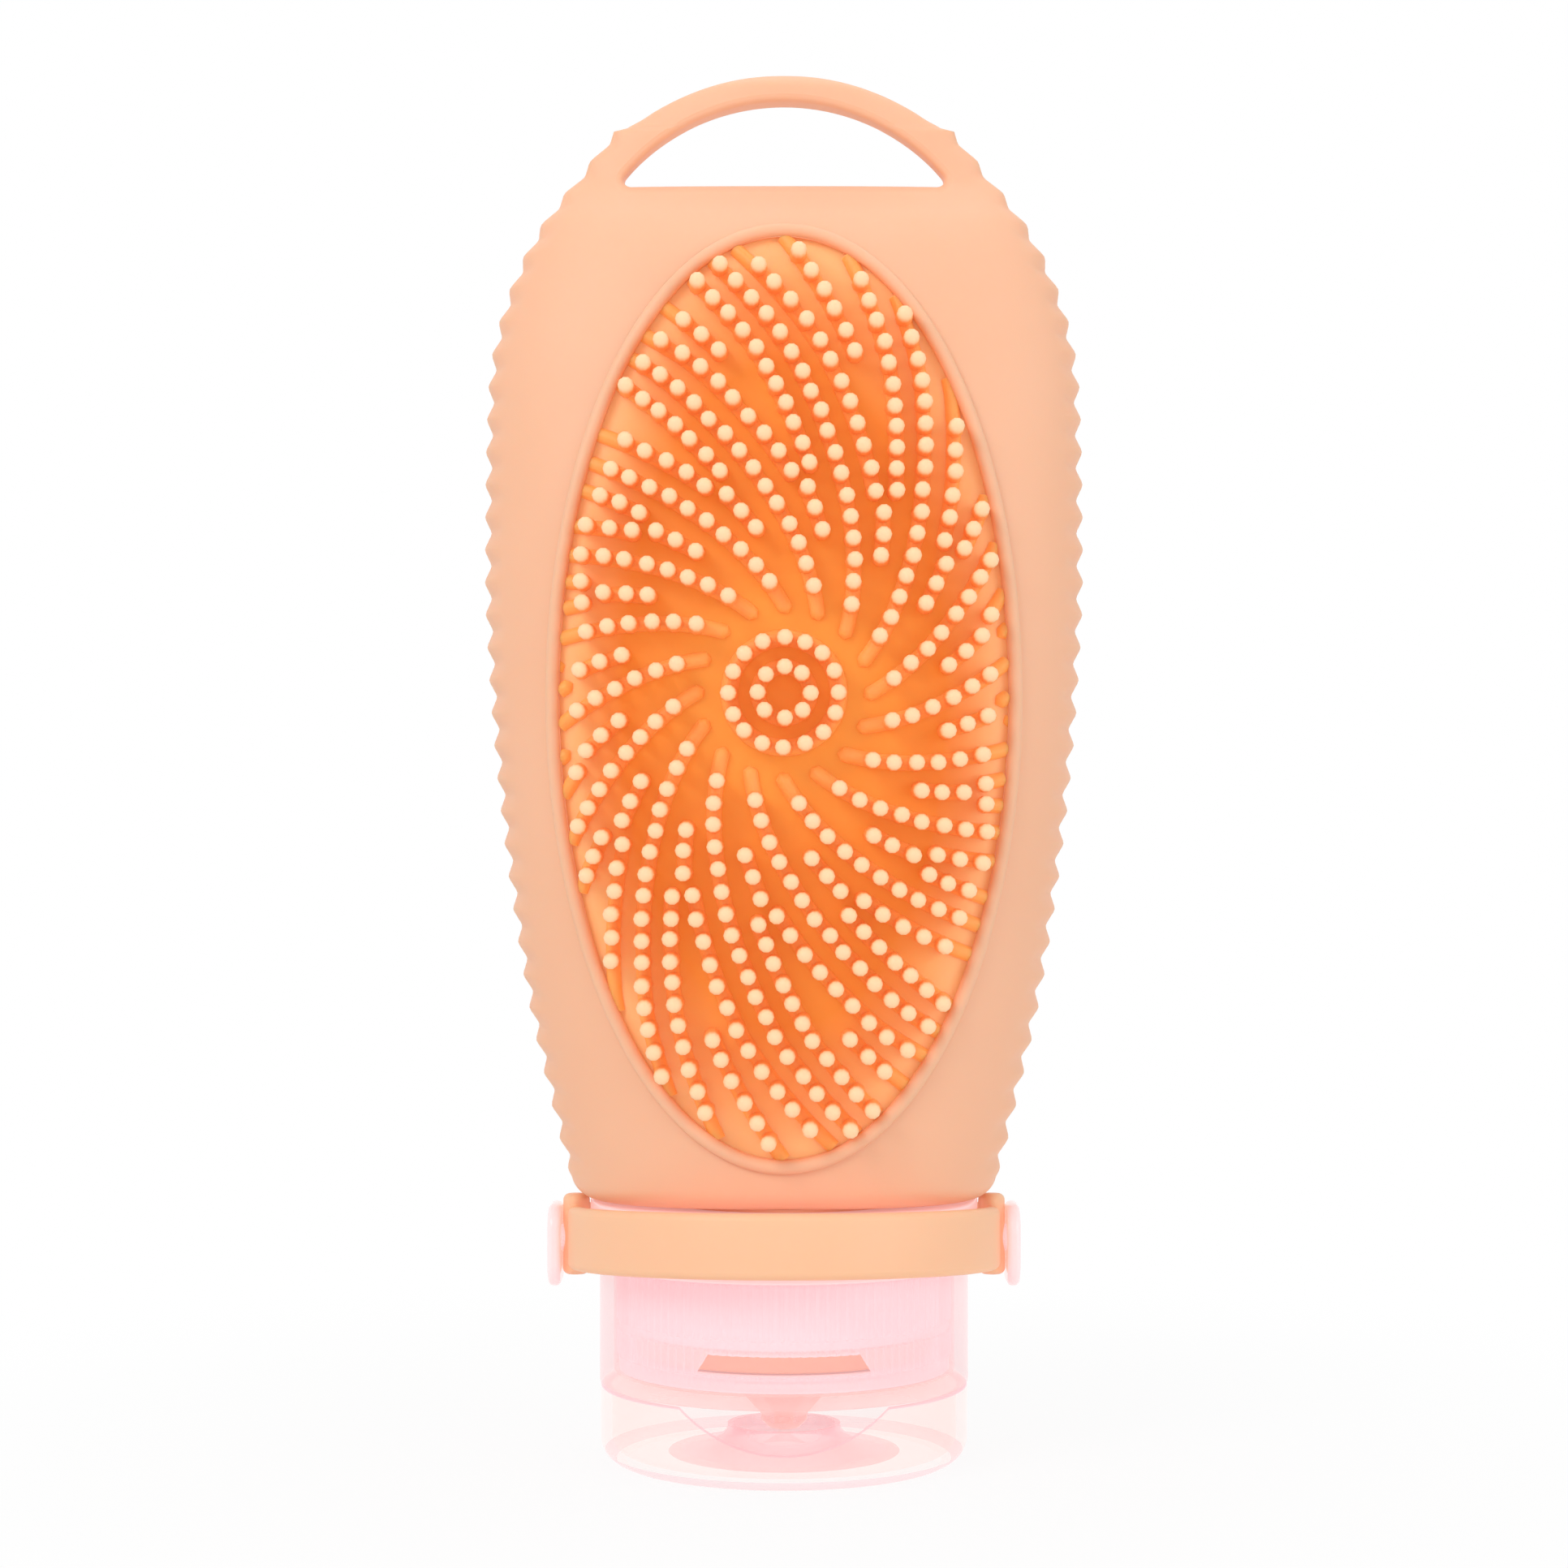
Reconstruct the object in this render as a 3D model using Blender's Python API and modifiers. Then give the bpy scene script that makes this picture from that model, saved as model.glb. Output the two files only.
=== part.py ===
"""Shower brush that is also a squeeze bottle, standing on its flip-top cap with the hanging loop up.

Units are metres, +Z is up and the bristles face -Y. The origin is the centre of the lid's flat end.
Heights are stacked from the lid upward, and the neck and cap are nested from the passage outward.
"""

import math

import bmesh
import bpy
from mathutils import Matrix, Vector
from mathutils.geometry import delaunay_2d_cdt

# Clearances
GAP = 0.0003
OVERRUN = 0.001

# Neck and cap, nested from the passage outward
PASSAGE_RADIUS = 0.0123
INSERT_WALL = 0.0014
NECK_WALL = 0.0016
COLLAR_TUBE_WALL = 0.0017
THREAD_ROOM = 0.0006
SLEEVE_WALL = 0.0011
SLEEVE_RIB_DEPTH = 0.0003
CAP_WALL = 0.0016

INSERT_RADIUS = PASSAGE_RADIUS + INSERT_WALL
NECK_BORE_RADIUS = INSERT_RADIUS + GAP
NECK_RADIUS = NECK_BORE_RADIUS + NECK_WALL
COLLAR_BORE_RADIUS = NECK_RADIUS + GAP
COLLAR_TUBE_RADIUS = COLLAR_BORE_RADIUS + COLLAR_TUBE_WALL
SLEEVE_BORE_RADIUS = COLLAR_TUBE_RADIUS + THREAD_ROOM
SLEEVE_ROOT_RADIUS = SLEEVE_BORE_RADIUS + SLEEVE_WALL
SLEEVE_RADIUS = SLEEVE_ROOT_RADIUS + SLEEVE_RIB_DEPTH
CAP_BORE_RADIUS = SLEEVE_RADIUS + GAP
CAP_RADIUS = CAP_BORE_RADIUS + CAP_WALL

# Flip lid
LID_HEIGHT = 0.009
LID_STEP = 0.0001
LID_WALL = 0.0013
LID_FLOOR = 0.0013
LID_EDGE_RADIUS = 0.003
NOTCH_RADIUS = 0.017
NOTCH_DEPTH = 0.00475
PIN_RADIUS = 0.0007
PIN_FOOT_RADIUS = 0.0032
PIN_FOOT_HEIGHT = 0.0016
PIN_ENGAGEMENT = 0.0007
LID_RADIUS = CAP_RADIUS - LID_STEP

# Cap base with its deck and nozzle
CAP_HEIGHT = 0.0139
CAP_CHAMFER = 0.0004
DECK_THICKNESS = 0.0013
NOZZLE_LENGTH = 0.0056
NOZZLE_TIP_LENGTH = 0.0009
NOZZLE_BEAD_LENGTH = 0.0007
NOZZLE_TIP_RADIUS = 0.00175
NOZZLE_BEAD_RADIUS = 0.0027
NOZZLE_ROOT_RADIUS = 0.0062
NOZZLE_BORE_RADIUS = 0.0011
VALVE_HOLE_RADIUS = 0.005
SEAT_CLEARANCE = 0.0015
SEAT_WALL = 0.001
CAP_FLOOR = LID_HEIGHT + GAP
CAP_TOP = CAP_FLOOR + CAP_HEIGHT
DECK_TOP = CAP_FLOOR + DECK_THICKNESS
SEAT_RADIUS = PASSAGE_RADIUS - SEAT_CLEARANCE
SEAT_BORE_RADIUS = SEAT_RADIUS - SEAT_WALL

# Valve, its retainer and the washer, all on the deck
VALVE_THICKNESS = 0.0008
VALVE_DIP = 0.001
SLIT_LENGTH = 0.0044
SLIT_WIDTH = 0.00025
RETAINER_THICKNESS = 0.001
RETAINER_OVERLAP = 0.0035
WASHER_THICKNESS = 0.0007
VALVE_FLOOR = DECK_TOP + GAP
VALVE_TOP = VALVE_FLOOR + VALVE_THICKNESS
VALVE_RADIUS = SEAT_BORE_RADIUS - GAP
RETAINER_FLOOR = VALVE_TOP + GAP
SEAT_TOP = RETAINER_FLOOR + RETAINER_THICKNESS
WASHER_FLOOR = DECK_TOP + GAP

# Neck insert and the bottle's lip
INSERT_FLANGE_THICKNESS = 0.0006
LIP_HEIGHT = 0.0022
LIP_INSET = 0.0002
INSERT_FLOOR = WASHER_FLOOR + WASHER_THICKNESS + GAP
LIP_FLOOR = INSERT_FLOOR + INSERT_FLANGE_THICKNESS + GAP
LIP_TOP = LIP_FLOOR + LIP_HEIGHT
LIP_RADIUS = COLLAR_TUBE_RADIUS - LIP_INSET

# Ribbed sleeve inside the cap
SLEEVE_FOOT_HEIGHT = 0.0016
SLEEVE_LOWER_BAND = 0.0032
SLEEVE_GROOVE = 0.0009
SLEEVE_RIB_COUNT = 48
WINDOW_TOP_WIDTH = 0.0171
WINDOW_FLOOR_WIDTH = 0.0197
SLEEVE_FLOOR = DECK_TOP + GAP

# Collar between the cap and the bottle
FLANGE_THICKNESS = 0.0011
FLANGE_OVERHANG = 0.0013
COLLAR_HEIGHT = 0.0061
COLLAR_WALL = 0.0014
COLLAR_CHAMFER = 0.0005
COLLAR_RADIUS = CAP_RADIUS
COLLAR_FLOOR = LIP_TOP + GAP
FLANGE_FLOOR = CAP_TOP + GAP
FLANGE_TOP = FLANGE_FLOOR + FLANGE_THICKNESS
FLANGE_RADIUS = COLLAR_RADIUS + FLANGE_OVERHANG
COLLAR_TOP = FLANGE_TOP + COLLAR_HEIGHT

# Strap and the posts that it buttons over
STRAP_THICKNESS = 0.002
STRAP_HEIGHT = 0.007
STRAP_EDGE_RADIUS = 0.0006
STRAP_REST_TILT = math.radians(4.9)
BEAD_RADIUS = 0.00155
BEAD_HEIGHT = 0.0094
BEAD_SETBACK = 0.005
POST_RADIUS = 0.0015
POST_RISE = 0.0013
HEAD_THICKNESS = 0.0015
HEAD_HEIGHT = 0.0098
HEAD_WIDTH = 0.009
HEAD_DROP = 0.0007
HEAD_EDGE_RADIUS = 0.0005
POST_LEVEL = FLANGE_TOP + POST_RISE
STRAP_RADIUS = FLANGE_RADIUS + GAP + STRAP_THICKNESS / 2
HEAD_START = STRAP_RADIUS + BEAD_RADIUS + GAP

# Living hinge at the back of the cap
HINGE_WIDTH = 0.013
LUG_HEIGHT = 0.003
LUG_STAND = 0.0005
WEB_THICKNESS = 0.0006
WEB_HEIGHT = 0.0028
LUG_FACE = CAP_RADIUS + LUG_STAND
HINGE_DEPTH = LUG_FACE + GAP + WEB_THICKNESS / 2
HINGE_LEVEL = LID_HEIGHT + GAP / 2

# Bottle body
OVAL_HALF_WIDTH = 0.0264
OVAL_HALF_HEIGHT = 0.0533
FLANK_WIDTH = 0.0081
OVAL_MARGIN_BELOW = 0.0048
OVAL_MARGIN_ABOVE = 0.006
LOOP_HEIGHT = 0.0133
LOOP_BAR = 0.0033
LOOP_INSET = 0.005
LOOP_FLATTENING = 0.0052
LOOP_CORNER_RADIUS = 0.0009
NECK_SHOULDER = 0.0043
BODY_WALL = 0.002
FOOT_RADIUS = 0.0022
TOOTH_PITCH = 0.0038
TOOTH_DEPTH = 0.0007
RIM_WIDTH = 0.001
RIM_RISE = 0.0009
RIM_CHAMFER = 0.0003
BODY_FLOOR = COLLAR_TOP + GAP
BODY_LENGTH = OVAL_MARGIN_BELOW + 2 * OVAL_HALF_HEIGHT + OVAL_MARGIN_ABOVE + LOOP_HEIGHT
BODY_TOP = BODY_FLOOR + BODY_LENGTH
BODY_HALF_WIDTH = OVAL_HALF_WIDTH + FLANK_WIDTH
BODY_HALF_DEPTH = NECK_BORE_RADIUS + NECK_SHOULDER
OVAL_LEVEL = BODY_FLOOR + OVAL_MARGIN_BELOW + OVAL_HALF_HEIGHT
LEDGE_LEVEL = BODY_TOP - LOOP_HEIGHT
LOOP_OUTER_RADIUS = BODY_HALF_WIDTH - LOOP_INSET
LOOP_INNER_RADIUS = LOOP_OUTER_RADIUS - LOOP_FLATTENING

# Body outline: share of the length, then share of the half width or of the half depth
WIDTH_SHARES = (
    (0.000, 0.701), (0.054, 0.749), (0.168, 0.849), (0.284, 0.919), (0.400, 0.968), (0.516, 0.997),
    (0.574, 1.000), (0.689, 0.994), (0.749, 0.977), (0.807, 0.919), (0.865, 0.814), (0.923, 0.649),
    (0.953, 0.562),
)
DEPTH_SHARES = (
    (0.000, 0.956), (0.107, 0.984), (0.222, 1.000), (0.337, 0.995), (0.451, 0.962), (0.566, 0.896),
    (0.681, 0.798), (0.773, 0.689), (0.834, 0.568), (0.865, 0.437), (0.888, 0.268), (0.907, 0.164),
    (0.949, 0.142), (1.000, 0.131),
)
SHOULDER_SHARE = 0.953
TEETH_FLOOR_SHARE = 0.03
SECTION_POWER = 2.6
TOOTH_FADE_SHARES = (1.0, 0.8, 0.2)
FOOT_RING_SHARES = (0.0, 0.25, 0.6)
LOOP_RING_SHARES = (0.06, 0.25, 0.46, 0.66, 0.82, 0.93, 0.985)
CAVITY_FLOOR_SHARES = (0.0, 0.06, 0.16, 0.28, 0.4, 0.52, 0.64, 0.74, 0.84, 0.93)
CAVITY_DOME_SHARES = ((0.975, 0.84), (1.0, 0.5))

# Brush pad, whose levels are counted from the body's front surface
PLATE_THICKNESS = 0.001
FLOOR_SINK = 0.0009
RIB_HEIGHT = 0.001
BRISTLE_LENGTH = 0.0055
BRISTLE_RADIUS = 0.0009
BRISTLE_TIP_SHARE = 0.8
BRISTLE_SIDES = 3
PAD_MARGIN = 0.0001
ARM_COUNT = 16
ARM_PHASE = math.radians(7.5)
ARM_SWEEP = math.radians(32)
ARM_RADIUS = 0.0122
ARM_PITCH = 0.00215
RIB_END_RADIUS = 0.0095
BRANCH_RADIUS = 0.0184
FORK_CLEARANCE = 0.0015
LEFT_FORK_RADIUS = 0.0253
RIGHT_FORK_RADIUS = 0.0244
HUB_INNER_COUNT = 8
HUB_INNER_RADIUS = 0.00293
HUB_OUTER_COUNT = 16
HUB_OUTER_RADIUS = 0.00614
HUB_FLOOR_RADIUS = (HUB_INNER_RADIUS + HUB_OUTER_RADIUS) / 2
FAR_FORK_RADIUS = 0.0388
MOAT_RADIUS = 0.0078
INNER_VALLEY_RADIUS = 0.0106
VALLEY_RADIUS = 0.0165
VALLEY_STRIDE_COUNT = 2
MAIN_SHARE = 0.0
BRANCH_SHARE = 1 / 2
LEFT_FORK_SHARE = 1 / 3
RIGHT_FORK_SHARE = 2 / 3
INNER_VALLEY_SHARES = (1 / 4, 3 / 4)
OUTER_VALLEY_SHARES = (1 / 6, 1 / 2, 5 / 6)
OVAL_RING_SHARES = (0.3, 0.6, 0.85, 1.0)
POCKET_DEPTH = FLOOR_SINK + PLATE_THICKNESS + GAP
PAD_HALF_WIDTH = OVAL_HALF_WIDTH - RIM_WIDTH - GAP
PAD_HALF_HEIGHT = OVAL_HALF_HEIGHT - RIM_WIDTH - GAP

# Facets
BODY_POINTS = 24
CAVITY_POINTS = 20
OVAL_POINTS = 48
OUTER_SEGMENTS = 44
INNER_SEGMENTS = 36
CORNER_STEPS = 4
ARC_STEPS = 20
STRAP_STEPS = 24
MERGE_DISTANCE = 1e-6

PARTS = "shower_brush_bottle"
CUTTERS = "cutters"


def clear_scene():
    for old in list(bpy.data.objects):
        bpy.data.objects.remove(old)
    for name in (PARTS, CUTTERS):
        bpy.context.scene.collection.children.link(bpy.data.collections.new(name))
    bpy.data.collections[CUTTERS].hide_render = True


def make_material(name, colour, roughness, transmission=0.0, alpha=1.0):
    material = bpy.data.materials.new(name)
    material.use_nodes = True
    shader = material.node_tree.nodes["Principled BSDF"]
    shader.inputs["Base Color"].default_value = (*colour, 1)
    shader.inputs["Roughness"].default_value = roughness
    shader.inputs["Metallic"].default_value = 0
    shader.inputs["Transmission Weight"].default_value = transmission
    shader.inputs["Alpha"].default_value = alpha
    return material


def add_object(name, mesh, material=None, collection=PARTS):
    made = bpy.data.objects.new(name, mesh)
    bpy.data.collections[collection].objects.link(made)
    if material:
        mesh.materials.append(material)
    if collection == CUTTERS:
        made.hide_render = True
        made.display_type = "WIRE"
    return made


def from_bmesh(name, shape, material=None, collection=PARTS):
    """Turns a closed bmesh into an object whose faces point out."""
    bmesh.ops.recalc_face_normals(shape, faces=shape.faces)
    mesh = bpy.data.meshes.new(name)
    shape.to_mesh(mesh)
    shape.free()
    return add_object(name, mesh, material, collection)


def shade_smooth(made, degrees=35):
    made.data.shade_smooth()
    made.data.set_sharp_from_angle(angle=math.radians(degrees))


def turned(name, profile, closed, segments, material=None, collection=PARTS):
    """A profile of (radius, height) points turned about Z. Its outer side runs from top to bottom."""
    shape = bmesh.new()
    points = [shape.verts.new((radius, 0, height)) for radius, height in profile]
    for first, second in zip(points, points[1:]):
        shape.edges.new((first, second))
    if closed:
        shape.edges.new((points[-1], points[0]))
    mesh = bpy.data.meshes.new(name)
    shape.to_mesh(mesh)
    shape.free()
    made = add_object(name, mesh, material, collection)
    screw = made.modifiers.new("turn", "SCREW")
    screw.axis = "Z"
    screw.angle = math.tau
    screw.steps = segments
    screw.render_steps = segments
    screw.use_merge_vertices = True
    screw.merge_threshold = MERGE_DISTANCE
    screw.use_smooth_shade = True
    return made


def join(made, other, operation):
    """Adds a Boolean of the other object, which has to be in the cutters' collection."""
    boolean = made.modifiers.new(operation.lower(), "BOOLEAN")
    boolean.operation = operation
    boolean.solver = "EXACT"
    boolean.object = other


def block(name, low, high, edge_radius=0.0, material=None, collection=CUTTERS):
    """A box between two corners, with its edges rounded where a radius is given."""
    shape = bmesh.new()
    bmesh.ops.create_cube(shape, size=1)
    size = [far - near for near, far in zip(low, high)]
    centre = [(far + near) / 2 for near, far in zip(low, high)]
    bmesh.ops.scale(shape, vec=size, verts=shape.verts)
    bmesh.ops.translate(shape, vec=centre, verts=shape.verts)
    if edge_radius:
        bmesh.ops.bevel(shape, geom=shape.edges[:], offset=edge_radius, segments=2, profile=1 / 2, affect="EDGES")
    return from_bmesh(name, shape, material, collection)


def rod(name, radius, length, centre, axis, segments=INNER_SEGMENTS):
    """A cylinder along X, Y or Z, kept with the cutters."""
    shape = bmesh.new()
    bmesh.ops.create_cone(
        shape, cap_ends=True, segments=segments, radius1=radius, radius2=radius, depth=length
    )
    turn = Vector((0, 0, 1)).rotation_difference(Vector(axis)).to_matrix()
    bmesh.ops.rotate(shape, matrix=turn, verts=shape.verts)
    bmesh.ops.translate(shape, vec=centre, verts=shape.verts)
    return from_bmesh(name, shape, collection=CUTTERS)


def loft(name, rings, bottom_point=None, top_point=None, material=None, collection=PARTS):
    """Joins rings of equally many points, and closes each end with a fan to a point or a flat face."""
    shape = bmesh.new()
    made_rings = [[shape.verts.new(point) for point in ring] for ring in rings]
    for lower, upper in zip(made_rings, made_rings[1:]):
        for index, start in enumerate(lower):
            following = (index + 1) % len(lower)
            shape.faces.new((start, lower[following], upper[following], upper[index]))
    for ring, point in ((made_rings[0], bottom_point), (made_rings[-1], top_point)):
        if point is None:
            shape.faces.new(ring)
            continue
        tip = shape.verts.new(point)
        for start, end in zip(ring, ring[1:] + ring[:1]):
            shape.faces.new((start, end, tip))
    return from_bmesh(name, shape, material, collection)


def prism(name, outline, depth, collection=CUTTERS):
    """An outline of (x, z) points made solid over the given depth to both sides of the XZ plane."""
    shape = bmesh.new()
    front = shape.faces.new([shape.verts.new((x, -depth, z)) for x, z in outline])
    back = bmesh.ops.extrude_face_region(shape, geom=[front])["geom"]
    moved = [item for item in back if isinstance(item, bmesh.types.BMVert)]
    bmesh.ops.translate(shape, vec=(0, 2 * depth, 0), verts=moved)
    return from_bmesh(name, shape, collection=collection)


def smooth_through(shares, place):
    """The value at a place on the smooth curve through a table of (place, value) shares."""
    last = len(shares) - 1
    place = min(max(place, shares[0][0]), shares[last][0])
    index = max(i for i in range(last) if shares[i][0] <= place)
    (start, low), (end, high) = shares[index], shares[index + 1]

    def slope(i):
        before, after = shares[max(i - 1, 0)], shares[min(i + 1, last)]
        return (after[1] - before[1]) / (after[0] - before[0])

    span = end - start
    t = (place - start) / span
    return (
        low * (2 * t**3 - 3 * t**2 + 1)
        + high * (3 * t**2 - 2 * t**3)
        + slope(index) * span * (t**3 - 2 * t**2 + t)
        + slope(index + 1) * span * (t**3 - t**2)
    )


# Bottle body


def length_share(level):
    return (level - BODY_FLOOR) / BODY_LENGTH


def half_width(level):
    """Half the body's width at a height: the sides up to the shoulder, then the loop's round outside."""
    if length_share(level) > SHOULDER_SHARE:
        rise = level - (BODY_TOP - LOOP_OUTER_RADIUS)
        return math.sqrt(max(LOOP_OUTER_RADIUS**2 - rise**2, 0))
    width = BODY_HALF_WIDTH * smooth_through(WIDTH_SHARES, length_share(level))
    return width - foot_inset(level)


def half_depth(level):
    """Half the body's depth at a height, rounded off over the loop's bar."""
    depth = BODY_HALF_DEPTH * smooth_through(DEPTH_SHARES, length_share(level))
    bar_middle = BODY_TOP - LOOP_BAR / 2
    if level > bar_middle:
        share = (level - bar_middle) / (BODY_TOP - bar_middle)
        depth *= math.sqrt(max(1 - share**2, 0))
    return depth - foot_inset(level)


def foot_inset(level):
    """How far the rounded bottom edge draws the section in."""
    drop = FOOT_RADIUS - (level - BODY_FLOOR)
    if drop <= 0:
        return 0
    return FOOT_RADIUS - math.sqrt(max(FOOT_RADIUS**2 - drop**2, 0))


def front_depth(x, level):
    """How far the body's front surface lies in front of the XZ plane."""
    share = min(abs(x) / half_width(level), 1)
    return half_depth(level) * (1 - share**SECTION_POWER) ** (1 / SECTION_POWER)


def section(level, width, front, back, points, tooth=0.0):
    """A rounded section at one height. The tooth moves the points at both side edges outward."""
    ring = []
    for index in range(points):
        angle = math.tau * index / points
        cosine, sine = math.cos(angle), math.sin(angle)
        x = math.copysign(abs(cosine) ** (2 / SECTION_POWER), cosine) * width
        depth = back if sine > 0 else front
        y = math.copysign(abs(sine) ** (2 / SECTION_POWER), sine) * depth
        from_edge = min(index % (points // 2), -index % (points // 2))
        if from_edge < len(TOOTH_FADE_SHARES):
            x += tooth * TOOTH_FADE_SHARES[from_edge] * math.copysign(1, cosine)
        ring.append((x, y, level))
    return ring


def body_rings():
    rings = []

    def add(level, tooth=0.0):
        depth = half_depth(level)
        rings.append(section(level, half_width(level), depth, depth, BODY_POINTS, tooth))

    for share in FOOT_RING_SHARES:
        add(BODY_FLOOR + FOOT_RADIUS * share)
    teeth_floor = BODY_FLOOR + BODY_LENGTH * TEETH_FLOOR_SHARE
    teeth_top = BODY_FLOOR + BODY_LENGTH * SHOULDER_SHARE
    teeth = int((teeth_top - teeth_floor) / TOOTH_PITCH)
    for tooth in range(teeth, 0, -1):
        valley = teeth_top - tooth * TOOTH_PITCH + TOOTH_PITCH / 2
        add(valley, -TOOTH_DEPTH / 2)
        add(valley + TOOTH_PITCH / 2, TOOTH_DEPTH / 2)
    for share in LOOP_RING_SHARES:
        add(teeth_top + (BODY_TOP - teeth_top) * share)
    return rings


def oval_point(radius_share, angle, wide, high):
    return radius_share * wide * math.cos(angle), OVAL_LEVEL + radius_share * high * math.sin(angle)


def oval_block(name, wide, high, front, back, front_edge_drop=0.0):
    """A solid with an oval outline. Its front and back give the depth of each point (x, level)."""
    shape = bmesh.new()
    sides = []
    for surface, drop in ((front, front_edge_drop), (back, 0.0)):
        rings = []
        for share in OVAL_RING_SHARES:
            ring = []
            for index in range(OVAL_POINTS):
                x, level = oval_point(share, math.tau * index / OVAL_POINTS, wide, high)
                sunk = drop if share == 1 else 0.0
                ring.append(shape.verts.new((x, -surface(x, level) + sunk, level)))
            rings.append(ring)
        middle = shape.verts.new((0, -surface(0, OVAL_LEVEL), OVAL_LEVEL))
        for index in range(OVAL_POINTS):
            following = (index + 1) % OVAL_POINTS
            shape.faces.new((middle, rings[0][index], rings[0][following]))
            for inner, outer in zip(rings, rings[1:]):
                shape.faces.new((inner[index], outer[index], outer[following], inner[following]))
        sides.append(rings[-1])
    for index in range(OVAL_POINTS):
        following = (index + 1) % OVAL_POINTS
        shape.faces.new((sides[0][index], sides[0][following], sides[1][following], sides[1][index]))
    return from_bmesh(name, shape, collection=CUTTERS)


def loop_opening():
    """The hole of the hanging loop: a straight ledge, two small corners and a wide arc."""
    arc_level = BODY_TOP - LOOP_BAR - LOOP_INNER_RADIUS
    corner_level = LEDGE_LEVEL + LOOP_CORNER_RADIUS
    reach = LOOP_INNER_RADIUS - LOOP_CORNER_RADIUS
    corner_x = math.sqrt(reach**2 - (corner_level - arc_level) ** 2)
    meeting = math.atan2(corner_level - arc_level, corner_x)
    outline = []
    for step in range(CORNER_STEPS):
        angle = -math.pi / 2 + (meeting + math.pi / 2) * step / CORNER_STEPS
        outline.append((
            corner_x + LOOP_CORNER_RADIUS * math.cos(angle),
            corner_level + LOOP_CORNER_RADIUS * math.sin(angle),
        ))
    for step in range(ARC_STEPS // 2 + 1):
        angle = meeting + (math.pi / 2 - meeting) * step / (ARC_STEPS // 2)
        outline.append((LOOP_INNER_RADIUS * math.cos(angle), arc_level + LOOP_INNER_RADIUS * math.sin(angle)))
    mirrored = [(-x, level) for x, level in reversed(outline[:-1])]
    return prism("loop_opening", outline + mirrored, BODY_HALF_DEPTH)


def bottle_cavity():
    """The space for the soap, which keeps a wall behind the pad's pocket and a dome under the tab."""
    floor = BODY_FLOOR + BODY_WALL
    roof = OVAL_LEVEL + OVAL_HALF_HEIGHT - BODY_WALL - POCKET_DEPTH
    rings = []
    for share in CAVITY_FLOOR_SHARES:
        rings.append(cavity_ring(floor + (roof - floor) * share, 1.0))
    for share, shrink in CAVITY_DOME_SHARES:
        rings.append(cavity_ring(floor + (roof - floor) * share, shrink))
    return loft("bottle_cavity", rings, collection=CUTTERS)


def cavity_ring(level, shrink):
    width = half_width(level) - BODY_WALL - TOOTH_DEPTH
    front = half_depth(level) - BODY_WALL - POCKET_DEPTH
    back = half_depth(level) - BODY_WALL
    return section(level, width * shrink, front * shrink, back * shrink, CAVITY_POINTS)


def build_bottle_body(material):
    body = loft("bottle_body", body_rings(), top_point=(0, 0, BODY_TOP), material=material)
    neck_profile = (
        (0, BODY_FLOOR + OVERRUN), (NECK_RADIUS, BODY_FLOOR + OVERRUN), (NECK_RADIUS, LIP_TOP),
        (LIP_RADIUS, LIP_TOP), (LIP_RADIUS, LIP_FLOOR), (0, LIP_FLOOR),
    )
    neck = turned("neck", neck_profile, False, INNER_SEGMENTS, collection=CUTTERS)
    join(body, neck, "UNION")
    boss = oval_block(
        "rim_boss", OVAL_HALF_WIDTH, OVAL_HALF_HEIGHT,
        lambda x, level: front_depth(x, level) + RIM_RISE,
        lambda x, level: front_depth(x, level) - OVERRUN,
        RIM_CHAMFER,
    )
    join(body, boss, "UNION")
    pocket = oval_block(
        "pad_pocket", OVAL_HALF_WIDTH - RIM_WIDTH, OVAL_HALF_HEIGHT - RIM_WIDTH,
        lambda x, level: BODY_HALF_DEPTH + RIM_RISE + OVERRUN,
        lambda x, level: front_depth(x, level) - POCKET_DEPTH,
    )
    join(body, pocket, "DIFFERENCE")
    join(body, bottle_cavity(), "DIFFERENCE")
    bore_top = BODY_FLOOR + BODY_WALL + OVERRUN
    bore_floor = LIP_FLOOR - OVERRUN
    bore = rod(
        "neck_bore", NECK_BORE_RADIUS, bore_top - bore_floor, (0, 0, (bore_top + bore_floor) / 2), (0, 0, 1)
    )
    join(body, bore, "DIFFERENCE")
    join(body, loop_opening(), "DIFFERENCE")
    shade_smooth(body)
    return body


# Brush pad


def arm_angle(share, radius):
    """The angle from the pad's middle at which a row passes a radius, for a share of the row spacing."""
    return ARM_PHASE + math.tau * share / ARM_COUNT + ARM_SWEEP * math.log(radius / ARM_RADIUS)


def row_radii(start, stop=PAD_HALF_HEIGHT):
    """Radii from a start outward in steps of the row pitch, to the stop."""
    count = math.floor((stop - start) / ARM_PITCH) + 1
    return [start + ARM_PITCH * index for index in range(count)]


def on_pad(radius, angle, margin):
    across = radius * math.cos(angle) / (PAD_HALF_WIDTH - margin)
    along = radius * math.sin(angle) / (PAD_HALF_HEIGHT - margin)
    return across**2 + along**2 <= 1


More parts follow.
